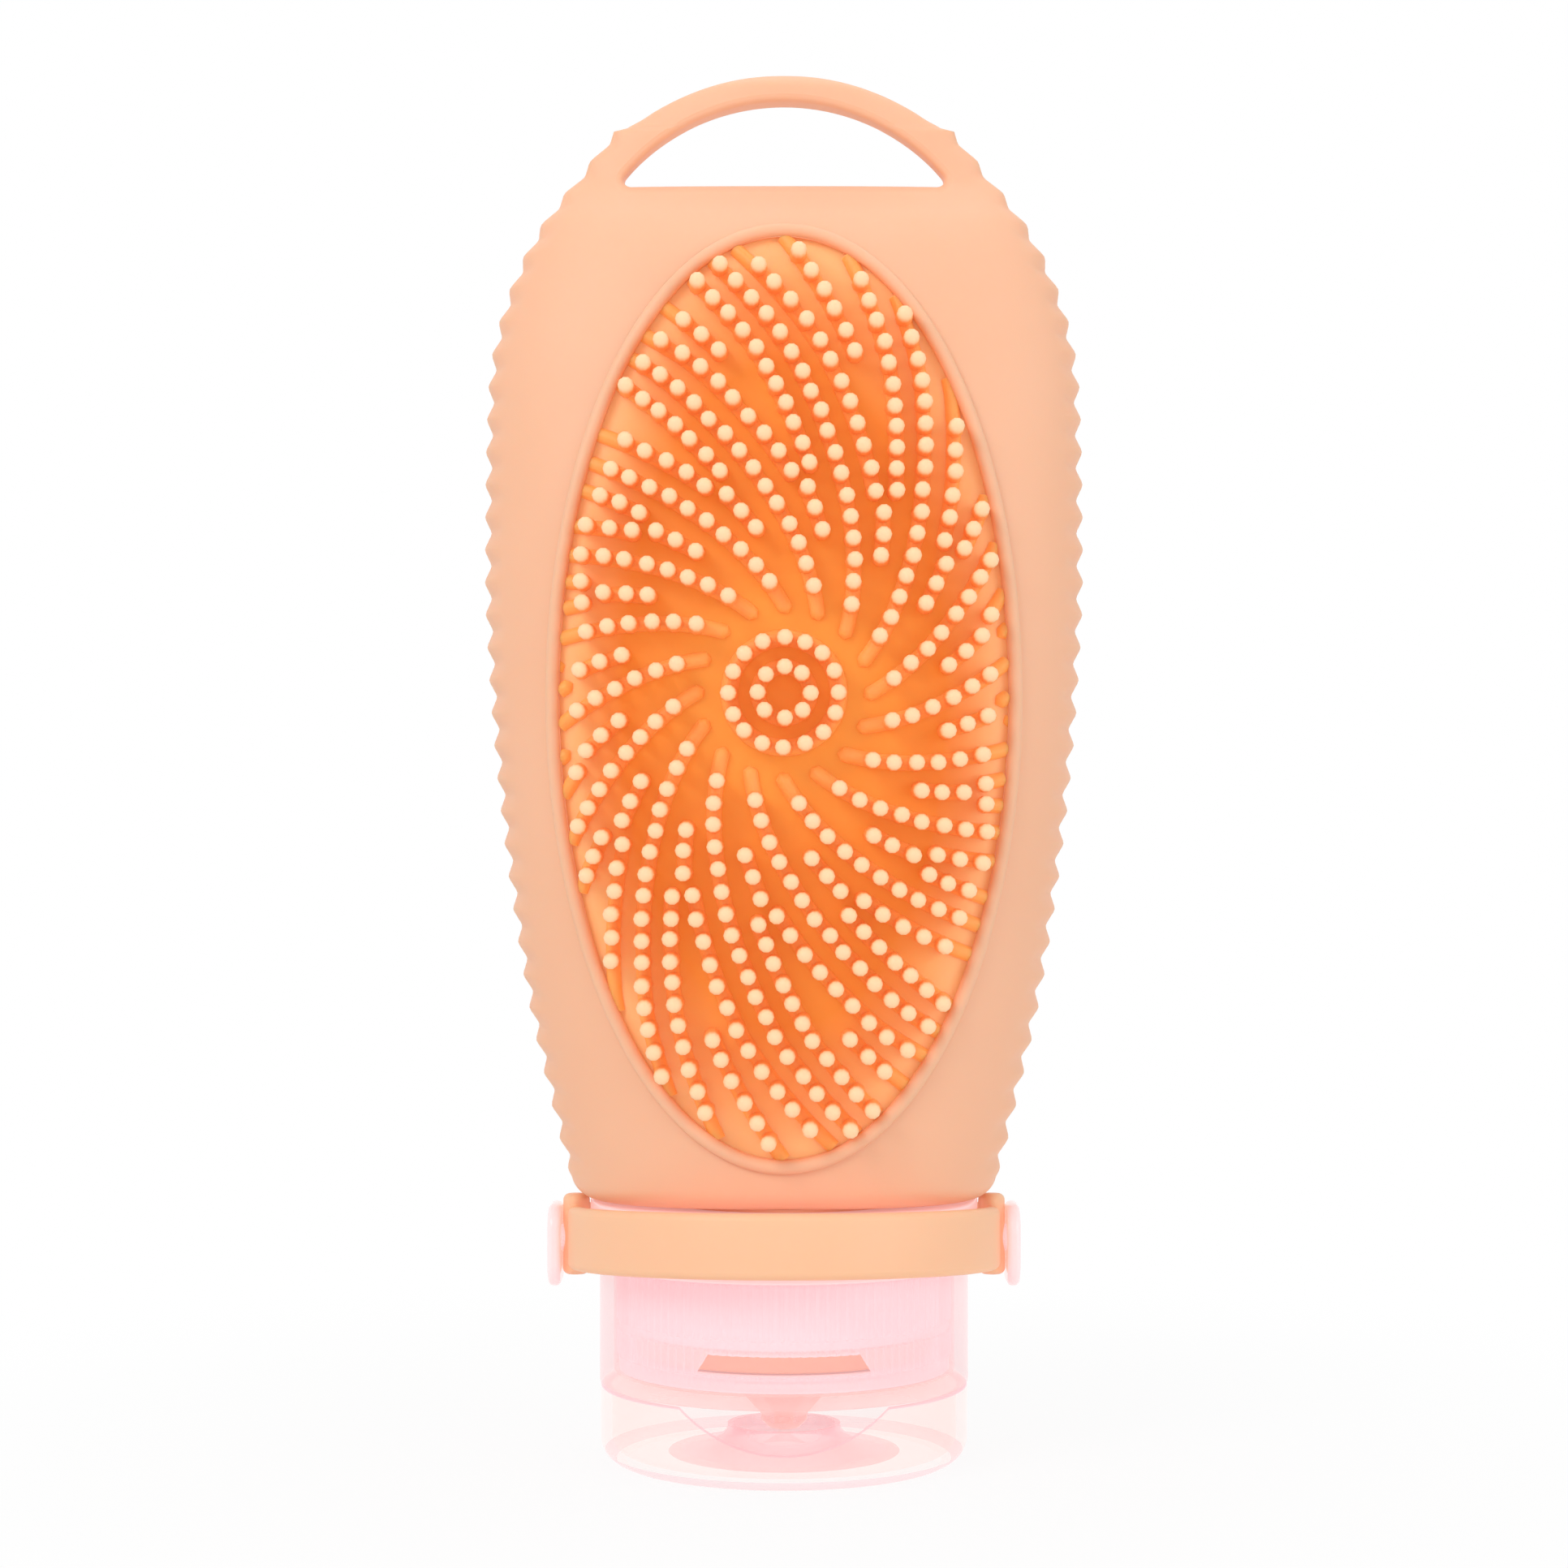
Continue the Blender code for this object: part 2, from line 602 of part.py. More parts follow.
def bristle_places():
    """(radius, angle) of each bristle: the hub's rings, then the rows with their branches and forks."""
    places = []
    for count, radius in ((HUB_INNER_COUNT, HUB_INNER_RADIUS), (HUB_OUTER_COUNT, HUB_OUTER_RADIUS)):
        places += [(radius, math.pi / 2 + math.tau * index / count) for index in range(count)]
    branch_end = min(LEFT_FORK_RADIUS, RIGHT_FORK_RADIUS) - FORK_CLEARANCE
    rows = (
        (MAIN_SHARE, row_radii(ARM_RADIUS)),
        (BRANCH_SHARE, row_radii(BRANCH_RADIUS, branch_end)),
        (LEFT_FORK_SHARE, row_radii(LEFT_FORK_RADIUS)),
        (RIGHT_FORK_SHARE, row_radii(RIGHT_FORK_RADIUS)),
        (BRANCH_SHARE, row_radii(FAR_FORK_RADIUS)),
    )
    margin = PAD_MARGIN + BRISTLE_RADIUS
    for arm in range(ARM_COUNT):
        for share, radii in rows:
            row = [(radius, arm_angle(arm + share, radius)) for radius in radii]
            places += [place for place in row if on_pad(*place, margin)]
    return places


def floor_places():
    """(radius, angle) of the low points between the rows and in the hub."""
    places = [(0, 0)]
    for index in range(HUB_OUTER_COUNT):
        angle = math.pi / 2 + math.tau * (index + 1 / 2) / HUB_OUTER_COUNT
        places += [(HUB_FLOOR_RADIUS, angle), (MOAT_RADIUS, angle)]
    fork = min(LEFT_FORK_RADIUS, RIGHT_FORK_RADIUS)
    for arm in range(ARM_COUNT):
        for radius in (INNER_VALLEY_RADIUS, (INNER_VALLEY_RADIUS + VALLEY_RADIUS) / 2):
            places.append((radius, arm_angle(arm + BRANCH_SHARE, radius)))
        for radius in row_radii(VALLEY_RADIUS)[::VALLEY_STRIDE_COUNT]:
            shares = OUTER_VALLEY_SHARES if radius > fork else INNER_VALLEY_SHARES
            places += [(radius, arm_angle(arm + share, radius)) for share in shares]
    return [place for place in places if on_pad(*place, PAD_MARGIN + BRISTLE_RADIUS)]


def polar(radius, angle):
    return radius * math.cos(angle), radius * math.sin(angle)


def build_brush_pad(material):
    """A plate whose front is a net through all the bristles' feet, each foot drawn out to a bristle."""
    rib_end = [(RIB_END_RADIUS, arm_angle(arm, RIB_END_RADIUS)) for arm in range(ARM_COUNT)]
    edge = [
        (PAD_HALF_WIDTH * math.cos(math.tau * index / OVAL_POINTS),
         PAD_HALF_HEIGHT * math.sin(math.tau * index / OVAL_POINTS))
        for index in range(OVAL_POINTS)
    ]
    low = edge + [polar(*place) for place in floor_places()]
    points = low + [polar(*place) for place in rib_end]
    feet = []
    for radius, angle in bristle_places():
        x, up = polar(radius, angle)
        feet.append([len(points) + side for side in range(BRISTLE_SIDES)])
        for side in range(BRISTLE_SIDES):
            turn = angle + math.tau * side / BRISTLE_SIDES
            points.append((x + BRISTLE_RADIUS * math.cos(turn), up + BRISTLE_RADIUS * math.sin(turn)))
    net = delaunay_2d_cdt([Vector(point) for point in points], [], feet, 0, MERGE_DISTANCE)
    corners, _, triangles, from_points, _, from_feet = net

    shape = bmesh.new()
    front = []
    for corner, sources in zip(corners, from_points):
        level = OVAL_LEVEL + corner.y
        height = -FLOOR_SINK
        if min(sources) >= len(low):
            height += RIB_HEIGHT
        front.append(shape.verts.new((corner.x, -front_depth(corner.x, level) - height, level)))
    bristle_feet = []
    for triangle, sources in zip(triangles, from_feet):
        face = shape.faces.new([front[index] for index in triangle])
        if sources:
            bristle_feet.append(face)
    rim = {sources[0]: vert for vert, sources in zip(front, from_points) if sources[0] < OVAL_POINTS}
    add_pad_back(shape, [rim[index] for index in range(OVAL_POINTS)])
    draw_out_bristles(shape, bristle_feet)
    print("bristles:", len(feet))
    return from_bmesh("brush_pad", shape, material)


def add_pad_back(shape, rim):
    """The plate's edge and its back, which follows the pocket."""
    rings = []
    for share in OVAL_RING_SHARES:
        ring = []
        for index in range(OVAL_POINTS):
            x, level = oval_point(share, math.tau * index / OVAL_POINTS, PAD_HALF_WIDTH, PAD_HALF_HEIGHT)
            depth = front_depth(x, level) - FLOOR_SINK - PLATE_THICKNESS
            ring.append(shape.verts.new((x, -depth, level)))
        rings.append(ring)
    depth = front_depth(0, OVAL_LEVEL) - FLOOR_SINK - PLATE_THICKNESS
    middle = shape.verts.new((0, -depth, OVAL_LEVEL))
    for index in range(OVAL_POINTS):
        following = (index + 1) % OVAL_POINTS
        shape.faces.new((middle, rings[0][following], rings[0][index]))
        for inner, outer in zip(rings, rings[1:]):
            shape.faces.new((inner[following], outer[following], outer[index], inner[index]))
        shape.faces.new((rim[following], rim[index], rings[-1][index], rings[-1][following]))


def draw_out_bristles(shape, feet):
    """Draws each foot straight out to its tip, which is a little slimmer."""
    tips = bmesh.ops.extrude_discrete_faces(shape, faces=feet)["faces"]
    for tip in tips:
        centre = tip.calc_center_median()
        reach = front_depth(centre.x, centre.z) + BRISTLE_LENGTH - FLOOR_SINK
        for vert in tip.verts:
            slim = centre + (vert.co - centre) * BRISTLE_TIP_SHARE
            vert.co = (slim.x, -reach, slim.z)


# Neck, collar and strap


def build_neck_insert(material):
    profile = (
        (INSERT_RADIUS, COLLAR_TOP), (INSERT_RADIUS, INSERT_FLOOR + INSERT_FLANGE_THICKNESS),
        (LIP_RADIUS, INSERT_FLOOR + INSERT_FLANGE_THICKNESS), (LIP_RADIUS, INSERT_FLOOR),
        (PASSAGE_RADIUS, INSERT_FLOOR), (PASSAGE_RADIUS, COLLAR_TOP),
    )
    return turned("neck_insert", profile, True, INNER_SEGMENTS, material)


def build_collar(material):
    inner_wall = COLLAR_RADIUS - COLLAR_WALL
    plate_floor = COLLAR_TOP - COLLAR_WALL
    profile = (
        (COLLAR_RADIUS - COLLAR_CHAMFER, COLLAR_TOP), (COLLAR_RADIUS, COLLAR_TOP - COLLAR_CHAMFER),
        (COLLAR_RADIUS, FLANGE_TOP), (FLANGE_RADIUS, FLANGE_TOP), (FLANGE_RADIUS, FLANGE_FLOOR),
        (inner_wall, FLANGE_FLOOR), (inner_wall, plate_floor), (COLLAR_TUBE_RADIUS, plate_floor),
        (COLLAR_TUBE_RADIUS, COLLAR_FLOOR), (COLLAR_BORE_RADIUS, COLLAR_FLOOR),
        (COLLAR_BORE_RADIUS, COLLAR_TOP),
    )
    collar = turned("collar", profile, True, OUTER_SEGMENTS, material)
    post_start = COLLAR_RADIUS - COLLAR_WALL / 2
    post_end = HEAD_START + HEAD_THICKNESS / 2
    head_middle = POST_LEVEL - HEAD_DROP
    for side, word in ((1, "right"), (-1, "left")):
        post = rod(
            f"{word}_post", POST_RADIUS, post_end - post_start,
            (side * (post_start + post_end) / 2, 0, POST_LEVEL), (1, 0, 0), OUTER_SEGMENTS // 2,
        )
        join(collar, post, "UNION")
        near, far = sorted((side * HEAD_START, side * (HEAD_START + HEAD_THICKNESS)))
        head = block(
            f"{word}_head", (near, -HEAD_WIDTH / 2, head_middle - HEAD_HEIGHT / 2),
            (far, HEAD_WIDTH / 2, head_middle + HEAD_HEIGHT / 2), HEAD_EDGE_RADIUS,
        )
        join(collar, head, "UNION")
    return collar


def strap_path():
    """Plan points of the band's middle: straight from a bead, half round the front, and straight back."""
    points = [(STRAP_RADIUS, BEAD_SETBACK)]
    for step in range(STRAP_STEPS + 1):
        angle = -math.pi * step / STRAP_STEPS
        points.append((STRAP_RADIUS * math.cos(angle), STRAP_RADIUS * math.sin(angle)))
    points.append((-STRAP_RADIUS, BEAD_SETBACK))
    return points


def build_strap(material):
    """The band, modelled level about the posts' axis and then tilted to rest."""
    shape = bmesh.new()
    lower = [shape.verts.new((x, y, -STRAP_HEIGHT / 2)) for x, y in strap_path()]
    edges = [shape.edges.new(pair) for pair in zip(lower, lower[1:])]
    raised = bmesh.ops.extrude_edge_only(shape, edges=edges)["geom"]
    upper = [item for item in raised if isinstance(item, bmesh.types.BMVert)]
    bmesh.ops.translate(shape, vec=(0, 0, STRAP_HEIGHT), verts=upper)
    strap = from_bmesh("strap", shape, material)

    shell = strap.modifiers.new("thickness", "SOLIDIFY")
    shell.thickness = STRAP_THICKNESS
    shell.offset = 0
    rounding = strap.modifiers.new("edges", "BEVEL")
    rounding.width = STRAP_EDGE_RADIUS
    rounding.segments = 1
    rounding.limit_method = "ANGLE"
    rounding.angle_limit = math.radians(60)

    pivot = bpy.data.objects.new("strap_pivot", None)
    bpy.data.collections[PARTS].objects.link(pivot)
    pivot.location = (0, 0, POST_LEVEL)
    pivot.rotation_euler = (-STRAP_REST_TILT, 0, 0)
    strap.parent = pivot
    for side, word in ((1, "right"), (-1, "left")):
        centre = (side * STRAP_RADIUS, BEAD_SETBACK, 0)
        bead = rod(f"{word}_bead", BEAD_RADIUS, BEAD_HEIGHT, centre, (0, 0, 1), OUTER_SEGMENTS // 4)
        bead.parent = pivot
        join(strap, bead, "UNION")
        hole = rod(
            f"{word}_button_hole", POST_RADIUS + GAP, 2 * STRAP_THICKNESS, (side * STRAP_RADIUS, 0, 0),
            (1, 0, 0), OUTER_SEGMENTS // 2,
        )
        hole.parent = pivot
        join(strap, hole, "DIFFERENCE")
    return strap


# Cap


def build_cap_base(material):
    nozzle_tip = CAP_FLOOR - NOZZLE_LENGTH
    bead_floor = nozzle_tip + NOZZLE_TIP_LENGTH
    bead_top = bead_floor + NOZZLE_BEAD_LENGTH
    profile = (
        (CAP_RADIUS, CAP_TOP), (CAP_RADIUS, CAP_FLOOR + CAP_CHAMFER), (CAP_RADIUS - CAP_CHAMFER, CAP_FLOOR),
        (NOZZLE_ROOT_RADIUS, CAP_FLOOR), (NOZZLE_BEAD_RADIUS, bead_top), (NOZZLE_BEAD_RADIUS, bead_floor),
        (NOZZLE_TIP_RADIUS, nozzle_tip), (NOZZLE_BORE_RADIUS, nozzle_tip), (NOZZLE_BORE_RADIUS, bead_top),
        (VALVE_HOLE_RADIUS, DECK_TOP), (SEAT_BORE_RADIUS, DECK_TOP), (SEAT_BORE_RADIUS, SEAT_TOP),
        (SEAT_RADIUS, SEAT_TOP), (SEAT_RADIUS, DECK_TOP), (CAP_BORE_RADIUS, DECK_TOP),
        (CAP_BORE_RADIUS, CAP_TOP),
    )
    base = turned("cap_base", profile, True, OUTER_SEGMENTS, material)
    lug = block(
        "cap_lug", (-HINGE_WIDTH / 2, lug_start(CAP_RADIUS, CAP_BORE_RADIUS), CAP_FLOOR),
        (HINGE_WIDTH / 2, LUG_FACE, CAP_FLOOR + LUG_HEIGHT),
    )
    join(base, lug, "UNION")
    return base


def lug_start(radius, bore):
    """Halfway into the wall at the lug's two ends, so that the lug joins the wall along its whole width."""
    return (bore + math.sqrt(radius**2 - (HINGE_WIDTH / 2) ** 2)) / 2


def build_flip_lid(material):
    pin_top = CAP_FLOOR - NOZZLE_LENGTH + PIN_ENGAGEMENT
    bore = LID_RADIUS - LID_WALL
    profile = [
        (0, pin_top), (PIN_RADIUS, pin_top), (PIN_RADIUS, LID_FLOOR + PIN_FOOT_HEIGHT),
        (PIN_FOOT_RADIUS, LID_FLOOR),
    ]
    inner_edge = LID_EDGE_RADIUS - LID_WALL
    for step in range(CORNER_STEPS // 2 + 1):
        angle = math.pi / 2 * step / (CORNER_STEPS // 2)
        profile.append((
            bore - inner_edge * (1 - math.sin(angle)),
            LID_FLOOR + inner_edge * (1 - math.cos(angle)),
        ))
    profile += [(bore, LID_HEIGHT), (LID_RADIUS, LID_HEIGHT)]
    for step in range(CORNER_STEPS + 1):
        angle = math.pi / 2 * step / CORNER_STEPS
        profile.append((
            LID_RADIUS - LID_EDGE_RADIUS * (1 - math.cos(angle)),
            LID_EDGE_RADIUS * (1 - math.sin(angle)),
        ))
    profile.append((0, 0))
    lid = turned("flip_lid", profile, False, OUTER_SEGMENTS, material)
    notch_depth = 2 * LID_WALL + LID_EDGE_RADIUS
    notch = rod(
        "thumb_notch", NOTCH_RADIUS, 2 * notch_depth,
        (0, -LID_RADIUS, LID_HEIGHT - NOTCH_DEPTH + NOTCH_RADIUS), (0, 1, 0), 2 * OUTER_SEGMENTS,
    )
    join(lid, notch, "DIFFERENCE")
    lug = block(
        "lid_lug", (-HINGE_WIDTH / 2, lug_start(LID_RADIUS, bore), LID_HEIGHT - LUG_HEIGHT),
        (HINGE_WIDTH / 2, LUG_FACE, LID_HEIGHT),
    )
    join(lid, lug, "UNION")
    pivot = bpy.data.objects.new("lid_pivot", None)
    bpy.data.collections[PARTS].objects.link(pivot)
    pivot.location = (0, HINGE_DEPTH, HINGE_LEVEL)
    lid.parent = pivot
    lid.matrix_parent_inverse = Matrix.Translation(pivot.location).inverted()
    return lid


def build_hinge_web(material):
    """A thin upright strip behind the lugs, rounded at its foot about the lid's axis."""
    web = block(
        "hinge_web", (-HINGE_WIDTH / 2, HINGE_DEPTH - WEB_THICKNESS / 2, HINGE_LEVEL),
        (HINGE_WIDTH / 2, HINGE_DEPTH + WEB_THICKNESS / 2, HINGE_LEVEL + WEB_HEIGHT),
        material=material, collection=PARTS,
    )
    foot = rod(
        "web_foot", WEB_THICKNESS / 2, HINGE_WIDTH, (0, HINGE_DEPTH, HINGE_LEVEL), (1, 0, 0),
        INNER_SEGMENTS // 4,
    )
    join(web, foot, "UNION")
    return web


def build_thread_sleeve(material):
    """The ribbed tube, with a plain foot, a groove between two ribbed bands and a window at the front."""
    band_floor = SLEEVE_FLOOR + SLEEVE_FOOT_HEIGHT
    groove_floor = band_floor + SLEEVE_LOWER_BAND
    groove_top = groove_floor + SLEEVE_GROOVE
    levels = (
        (SLEEVE_FLOOR, 0), (band_floor, 0), (band_floor, 1), (groove_floor, 1), (groove_floor, 0),
        (groove_top, 0), (groove_top, 1), (CAP_TOP, 1),
    )
    points = 2 * SLEEVE_RIB_COUNT
    rings = []
    for level, ribbed in levels:
        ring = []
        for index in range(points):
            crest = SLEEVE_RIB_DEPTH * ribbed * (index % 2)
            radius = SLEEVE_ROOT_RADIUS - SLEEVE_RIB_DEPTH * (1 - index % 2) * ribbed / 2 + crest
            angle = math.tau * index / points
            ring.append((radius * math.cos(angle), radius * math.sin(angle), level))
        rings.append(ring)
    sleeve = loft("thread_sleeve", rings, material=material)
    bore = rod(
        "sleeve_bore", SLEEVE_BORE_RADIUS, CAP_HEIGHT + 2 * OVERRUN, (0, 0, (SLEEVE_FLOOR + CAP_TOP) / 2),
        (0, 0, 1), OUTER_SEGMENTS,
    )
    join(sleeve, bore, "DIFFERENCE")
    join(sleeve, sleeve_window(), "DIFFERENCE")
    return sleeve


def sleeve_window():
    """The window is as high as the bottle's lip and opens the sleeve's front only."""
    outline = (
        (-WINDOW_FLOOR_WIDTH / 2, LIP_FLOOR), (WINDOW_FLOOR_WIDTH / 2, LIP_FLOOR),
        (WINDOW_TOP_WIDTH / 2, LIP_TOP), (-WINDOW_TOP_WIDTH / 2, LIP_TOP),
    )
    window = prism("sleeve_window", outline, SLEEVE_RADIUS / 2)
    window.location.y = -SLEEVE_RADIUS
    return window


def build_slit_valve(material):
    dip_radius = VALVE_HOLE_RADIUS - GAP - VALVE_THICKNESS / 2
    profile = (
        (0, VALVE_TOP - VALVE_DIP), (dip_radius / 2, VALVE_TOP - VALVE_DIP * 3 / 4), (dip_radius, VALVE_TOP),
        (VALVE_RADIUS, VALVE_TOP), (VALVE_RADIUS, VALVE_FLOOR), (dip_radius, VALVE_FLOOR),
        (dip_radius / 2, VALVE_FLOOR - VALVE_DIP * 3 / 4), (0, VALVE_FLOOR - VALVE_DIP),
    )
    valve = turned("slit_valve", profile, False, INNER_SEGMENTS, material)
    for word, wide, deep in (("cross", SLIT_LENGTH, SLIT_WIDTH), ("long", SLIT_WIDTH, SLIT_LENGTH)):
        slit = block(
            f"{word}_slit", (-wide / 2, -deep / 2, VALVE_FLOOR - VALVE_DIP - OVERRUN),
            (wide / 2, deep / 2, VALVE_TOP + OVERRUN),
        )
        join(valve, slit, "DIFFERENCE")
    return valve


def build_valve_retainer(material):
    bore = VALVE_RADIUS - RETAINER_OVERLAP
    profile = (
        (VALVE_RADIUS, SEAT_TOP), (VALVE_RADIUS, RETAINER_FLOOR), (bore, RETAINER_FLOOR), (bore, SEAT_TOP),
    )
    return turned("valve_retainer", profile, True, INNER_SEGMENTS, material)


def build_seal_washer(material):
    top = WASHER_FLOOR + WASHER_THICKNESS
    profile = (
        (LIP_RADIUS, top), (LIP_RADIUS, WASHER_FLOOR), (PASSAGE_RADIUS, WASHER_FLOOR), (PASSAGE_RADIUS, top),
    )
    return turned("seal_washer", profile, True, INNER_SEGMENTS, material)


def main():
    clear_scene()
    silicone = make_material("peach_silicone", (0.96, 0.52, 0.33), 0.5)
    bristle_silicone = make_material("orange_silicone", (0.98, 0.42, 0.16), 0.5)
    pink = make_material("pink_clear_plastic", (0.96, 0.76, 0.77), 0.25, 0.6, 0.6)
    white_silicone = make_material("clear_silicone", (0.9, 0.86, 0.84), 0.4)
    build_bottle_body(silicone)
    build_brush_pad(bristle_silicone)
    build_neck_insert(pink)
    build_collar(pink)
    build_strap(silicone)
    build_cap_base(pink)
    build_thread_sleeve(pink)
    build_slit_valve(white_silicone)
    build_valve_retainer(pink)
    build_seal_washer(white_silicone)
    build_flip_lid(pink)
    build_hinge_web(pink)


main()
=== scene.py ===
"""Dresses the CAD frame of a shower brush dispenser bottle: soft body, swirl of bristles, strap and clear cap."""

import math

import bmesh
import bpy
from bpy.props import FloatProperty, FloatVectorProperty, IntProperty, PointerProperty
from mathutils import Matrix, Vector


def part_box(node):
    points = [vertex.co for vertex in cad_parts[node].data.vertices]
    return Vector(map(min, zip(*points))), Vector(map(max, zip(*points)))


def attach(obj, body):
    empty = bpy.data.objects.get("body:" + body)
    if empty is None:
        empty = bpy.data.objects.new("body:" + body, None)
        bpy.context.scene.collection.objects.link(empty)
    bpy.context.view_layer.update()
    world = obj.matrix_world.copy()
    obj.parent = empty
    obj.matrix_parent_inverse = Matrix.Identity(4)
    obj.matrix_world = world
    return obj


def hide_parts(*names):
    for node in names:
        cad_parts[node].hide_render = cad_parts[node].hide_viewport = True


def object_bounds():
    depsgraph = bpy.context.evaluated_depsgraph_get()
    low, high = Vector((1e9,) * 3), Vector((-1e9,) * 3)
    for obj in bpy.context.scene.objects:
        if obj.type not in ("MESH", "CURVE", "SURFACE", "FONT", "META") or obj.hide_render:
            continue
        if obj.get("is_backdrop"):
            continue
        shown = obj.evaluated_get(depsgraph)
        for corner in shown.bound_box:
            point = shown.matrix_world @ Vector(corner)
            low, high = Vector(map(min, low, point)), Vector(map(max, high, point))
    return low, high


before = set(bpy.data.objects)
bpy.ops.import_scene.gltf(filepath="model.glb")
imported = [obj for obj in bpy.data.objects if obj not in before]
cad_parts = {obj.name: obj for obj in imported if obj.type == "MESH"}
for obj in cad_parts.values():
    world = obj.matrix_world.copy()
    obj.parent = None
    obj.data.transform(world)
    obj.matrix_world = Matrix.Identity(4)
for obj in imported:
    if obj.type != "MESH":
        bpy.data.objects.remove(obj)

bl_info = {
    "name": "Shower Brush Bottle",
    "version": (1, 0, 0),
    "blender": (4, 5, 0),
    "location": "3D View > Sidebar > Brush Bottle",
    "description": "Makes the visible surfaces and finishes of a shower brush dispenser bottle over its CAD frame",
    "category": "Object",
}

# Sizes read from the frame, in metres, with +Z up and the bristles towards -Y
BODY_LOW, BODY_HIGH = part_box("bottle_body")
PAD_LOW, PAD_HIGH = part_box("brush_pad")
INSERT_LOW, INSERT_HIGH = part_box("neck_insert")
COLLAR_LOW, COLLAR_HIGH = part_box("collar")
CAP_LOW, CAP_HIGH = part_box("cap_base")
SLEEVE_LOW, SLEEVE_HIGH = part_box("thread_sleeve")
VALVE_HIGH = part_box("slit_valve")[1]
RETAINER_LOW, RETAINER_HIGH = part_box("valve_retainer")
WASHER_LOW, WASHER_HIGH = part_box("seal_washer")
WEB_LOW, WEB_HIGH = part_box("hinge_web")
LID_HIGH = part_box("flip_lid")[1]

GAP = 0.0003
OVERRUN = 0.001
MERGE_DISTANCE = 0.000002

# Bottle body
BODY_FLOOR = COLLAR_HIGH.z + GAP
BODY_TOP = BODY_HIGH.z
BODY_LENGTH = BODY_TOP - BODY_FLOOR
BODY_HALF_DEPTH = BODY_HIGH.y
BODY_WALL = 0.002
FOOT_RADIUS = 0.0022
SECTION_POWER = 2.6
ROOF_POWER = 12
SHOULDER_SHARE = 0.953
SHOULDER_LEVEL = BODY_FLOOR + BODY_LENGTH * SHOULDER_SHARE
TEETH_FLOOR_SHARE = 0.03
TOOTH_DEPTH = 0.0007
TOOTH_SHARPNESS = 0.08
TOOTH_FADE_SHARE = 0.3
BODY_HALF_WIDTH = BODY_HIGH.x - TOOTH_DEPTH / 2
WIDTH_SHARES = (
    (0.000, 0.701), (0.054, 0.749), (0.168, 0.849), (0.284, 0.919), (0.400, 0.968), (0.516, 0.997),
    (0.574, 1.000), (0.689, 0.994), (0.749, 0.977), (0.807, 0.919), (0.865, 0.814), (0.923, 0.649),
    (0.953, 0.562),
)
DEPTH_SHARES = (
    (0.000, 0.956), (0.107, 0.984), (0.222, 1.000), (0.337, 0.995), (0.451, 0.962), (0.566, 0.896),
    (0.681, 0.798), (0.773, 0.689), (0.834, 0.568), (0.865, 0.437), (0.888, 0.268), (0.907, 0.164),
    (0.949, 0.142), (1.000, 0.131),
)
LOOP_OUTER_RADIUS = 0.0295
LOOP_BAR = 0.0033
LOOP_INNER_RADIUS = LOOP_OUTER_RADIUS - 0.0052
LOOP_CORNER_RADIUS = 0.0009
LEDGE_LEVEL = BODY_TOP - 0.0133

# Neck of the body, inside the cap
PASSAGE_RADIUS = 0.0123
NECK_BORE_RADIUS = 0.014
NECK_RADIUS = 0.0156
LIP_RADIUS = INSERT_HIGH.x
LIP_FLOOR = BODY_LOW.z
LIP_TOP = LIP_FLOOR + 0.0022

# Brush pad, whose levels are counted outward from the body's front surface
OVAL_LEVEL = (PAD_LOW.z + PAD_HIGH.z) / 2
PAD_HALF_WIDTH = PAD_HIGH.x
PAD_HALF_HEIGHT = PAD_HIGH.z - OVAL_LEVEL
RIM_WIDTH = 0.001
RIM_RISE = 0.0009
OVAL_HALF_WIDTH = PAD_HALF_WIDTH + GAP + RIM_WIDTH
OVAL_HALF_HEIGHT = PAD_HALF_HEIGHT + GAP + RIM_WIDTH
PLATE_THICKNESS = 0.001
FLOOR_SINK = 0.0009
POCKET_DEPTH = FLOOR_SINK + PLATE_THICKNESS + GAP
HUB_INNER_COUNT = 8
HUB_INNER_RADIUS = 0.00293
HUB_OUTER_RADIUS = 0.00614
HUB_OUTER_GROWTH = 1.15
BRANCH_MARGIN = 0.0015
LEFT_FORK_SHARE = 1 / 3
LEFT_FORK_DRIFT = math.radians(-4.5)
RIGHT_FORK_SHARE = 0.605
RIGHT_FORK_DRIFT = math.radians(6.3)
EDGE_MARGIN = 0.0005
SHEET_OVERHANG = 1.02
RIB_STEP_SHARE = 0.2
BLUNT_END = 1.01
BRISTLE_SIDES = 10
FOOT_FLARE = 1.12
DOME_SHARE = 0.75
DOME_STEPS = ((1, 1), (2, 0.86), (7, 0.5))

# Collar and strap
COLLAR_RADIUS = CAP_HIGH.x
COLLAR_WALL = 0.0014
COLLAR_BRIM = 0.0011
COLLAR_BRIM_HEIGHT = 0.0022
COLLAR_TUBE_RADIUS = 0.0176
COLLAR_BORE_RADIUS = 0.0159
FLANGE_TOP = COLLAR_HIGH.z - 0.0061
FLANGE_FLOOR = FLANGE_TOP - 0.0011
FLANGE_RADIUS = COLLAR_RADIUS + 0.0013
POST_RADIUS = 0.0015
POST_LEVEL = FLANGE_TOP + 0.0013
STRAP_RADIUS = 0.0243
STRAP_THICKNESS = 0.002
STRAP_HEIGHT = 0.0073
STRAP_EDGE_SHARE = 0.45
STRAP_TILT = math.radians(4.9)
BEAD_RADIUS = 0.00155
BEAD_DEPTH_SHARE = 1.85
BEAD_TIP_SHARE = 0.85
BEAD_HEIGHT = 0.0094
BEAD_RISE = 0.0004
TAB_LENGTH = 0.005
TAB_BEAD_HEIGHT = 0.0082
HEAD_WIDTH = 0.009
HEAD_HEIGHT = 0.0095
HEAD_THICKNESS = 0.0015
HEAD_EDGE_SHARE = 0.42
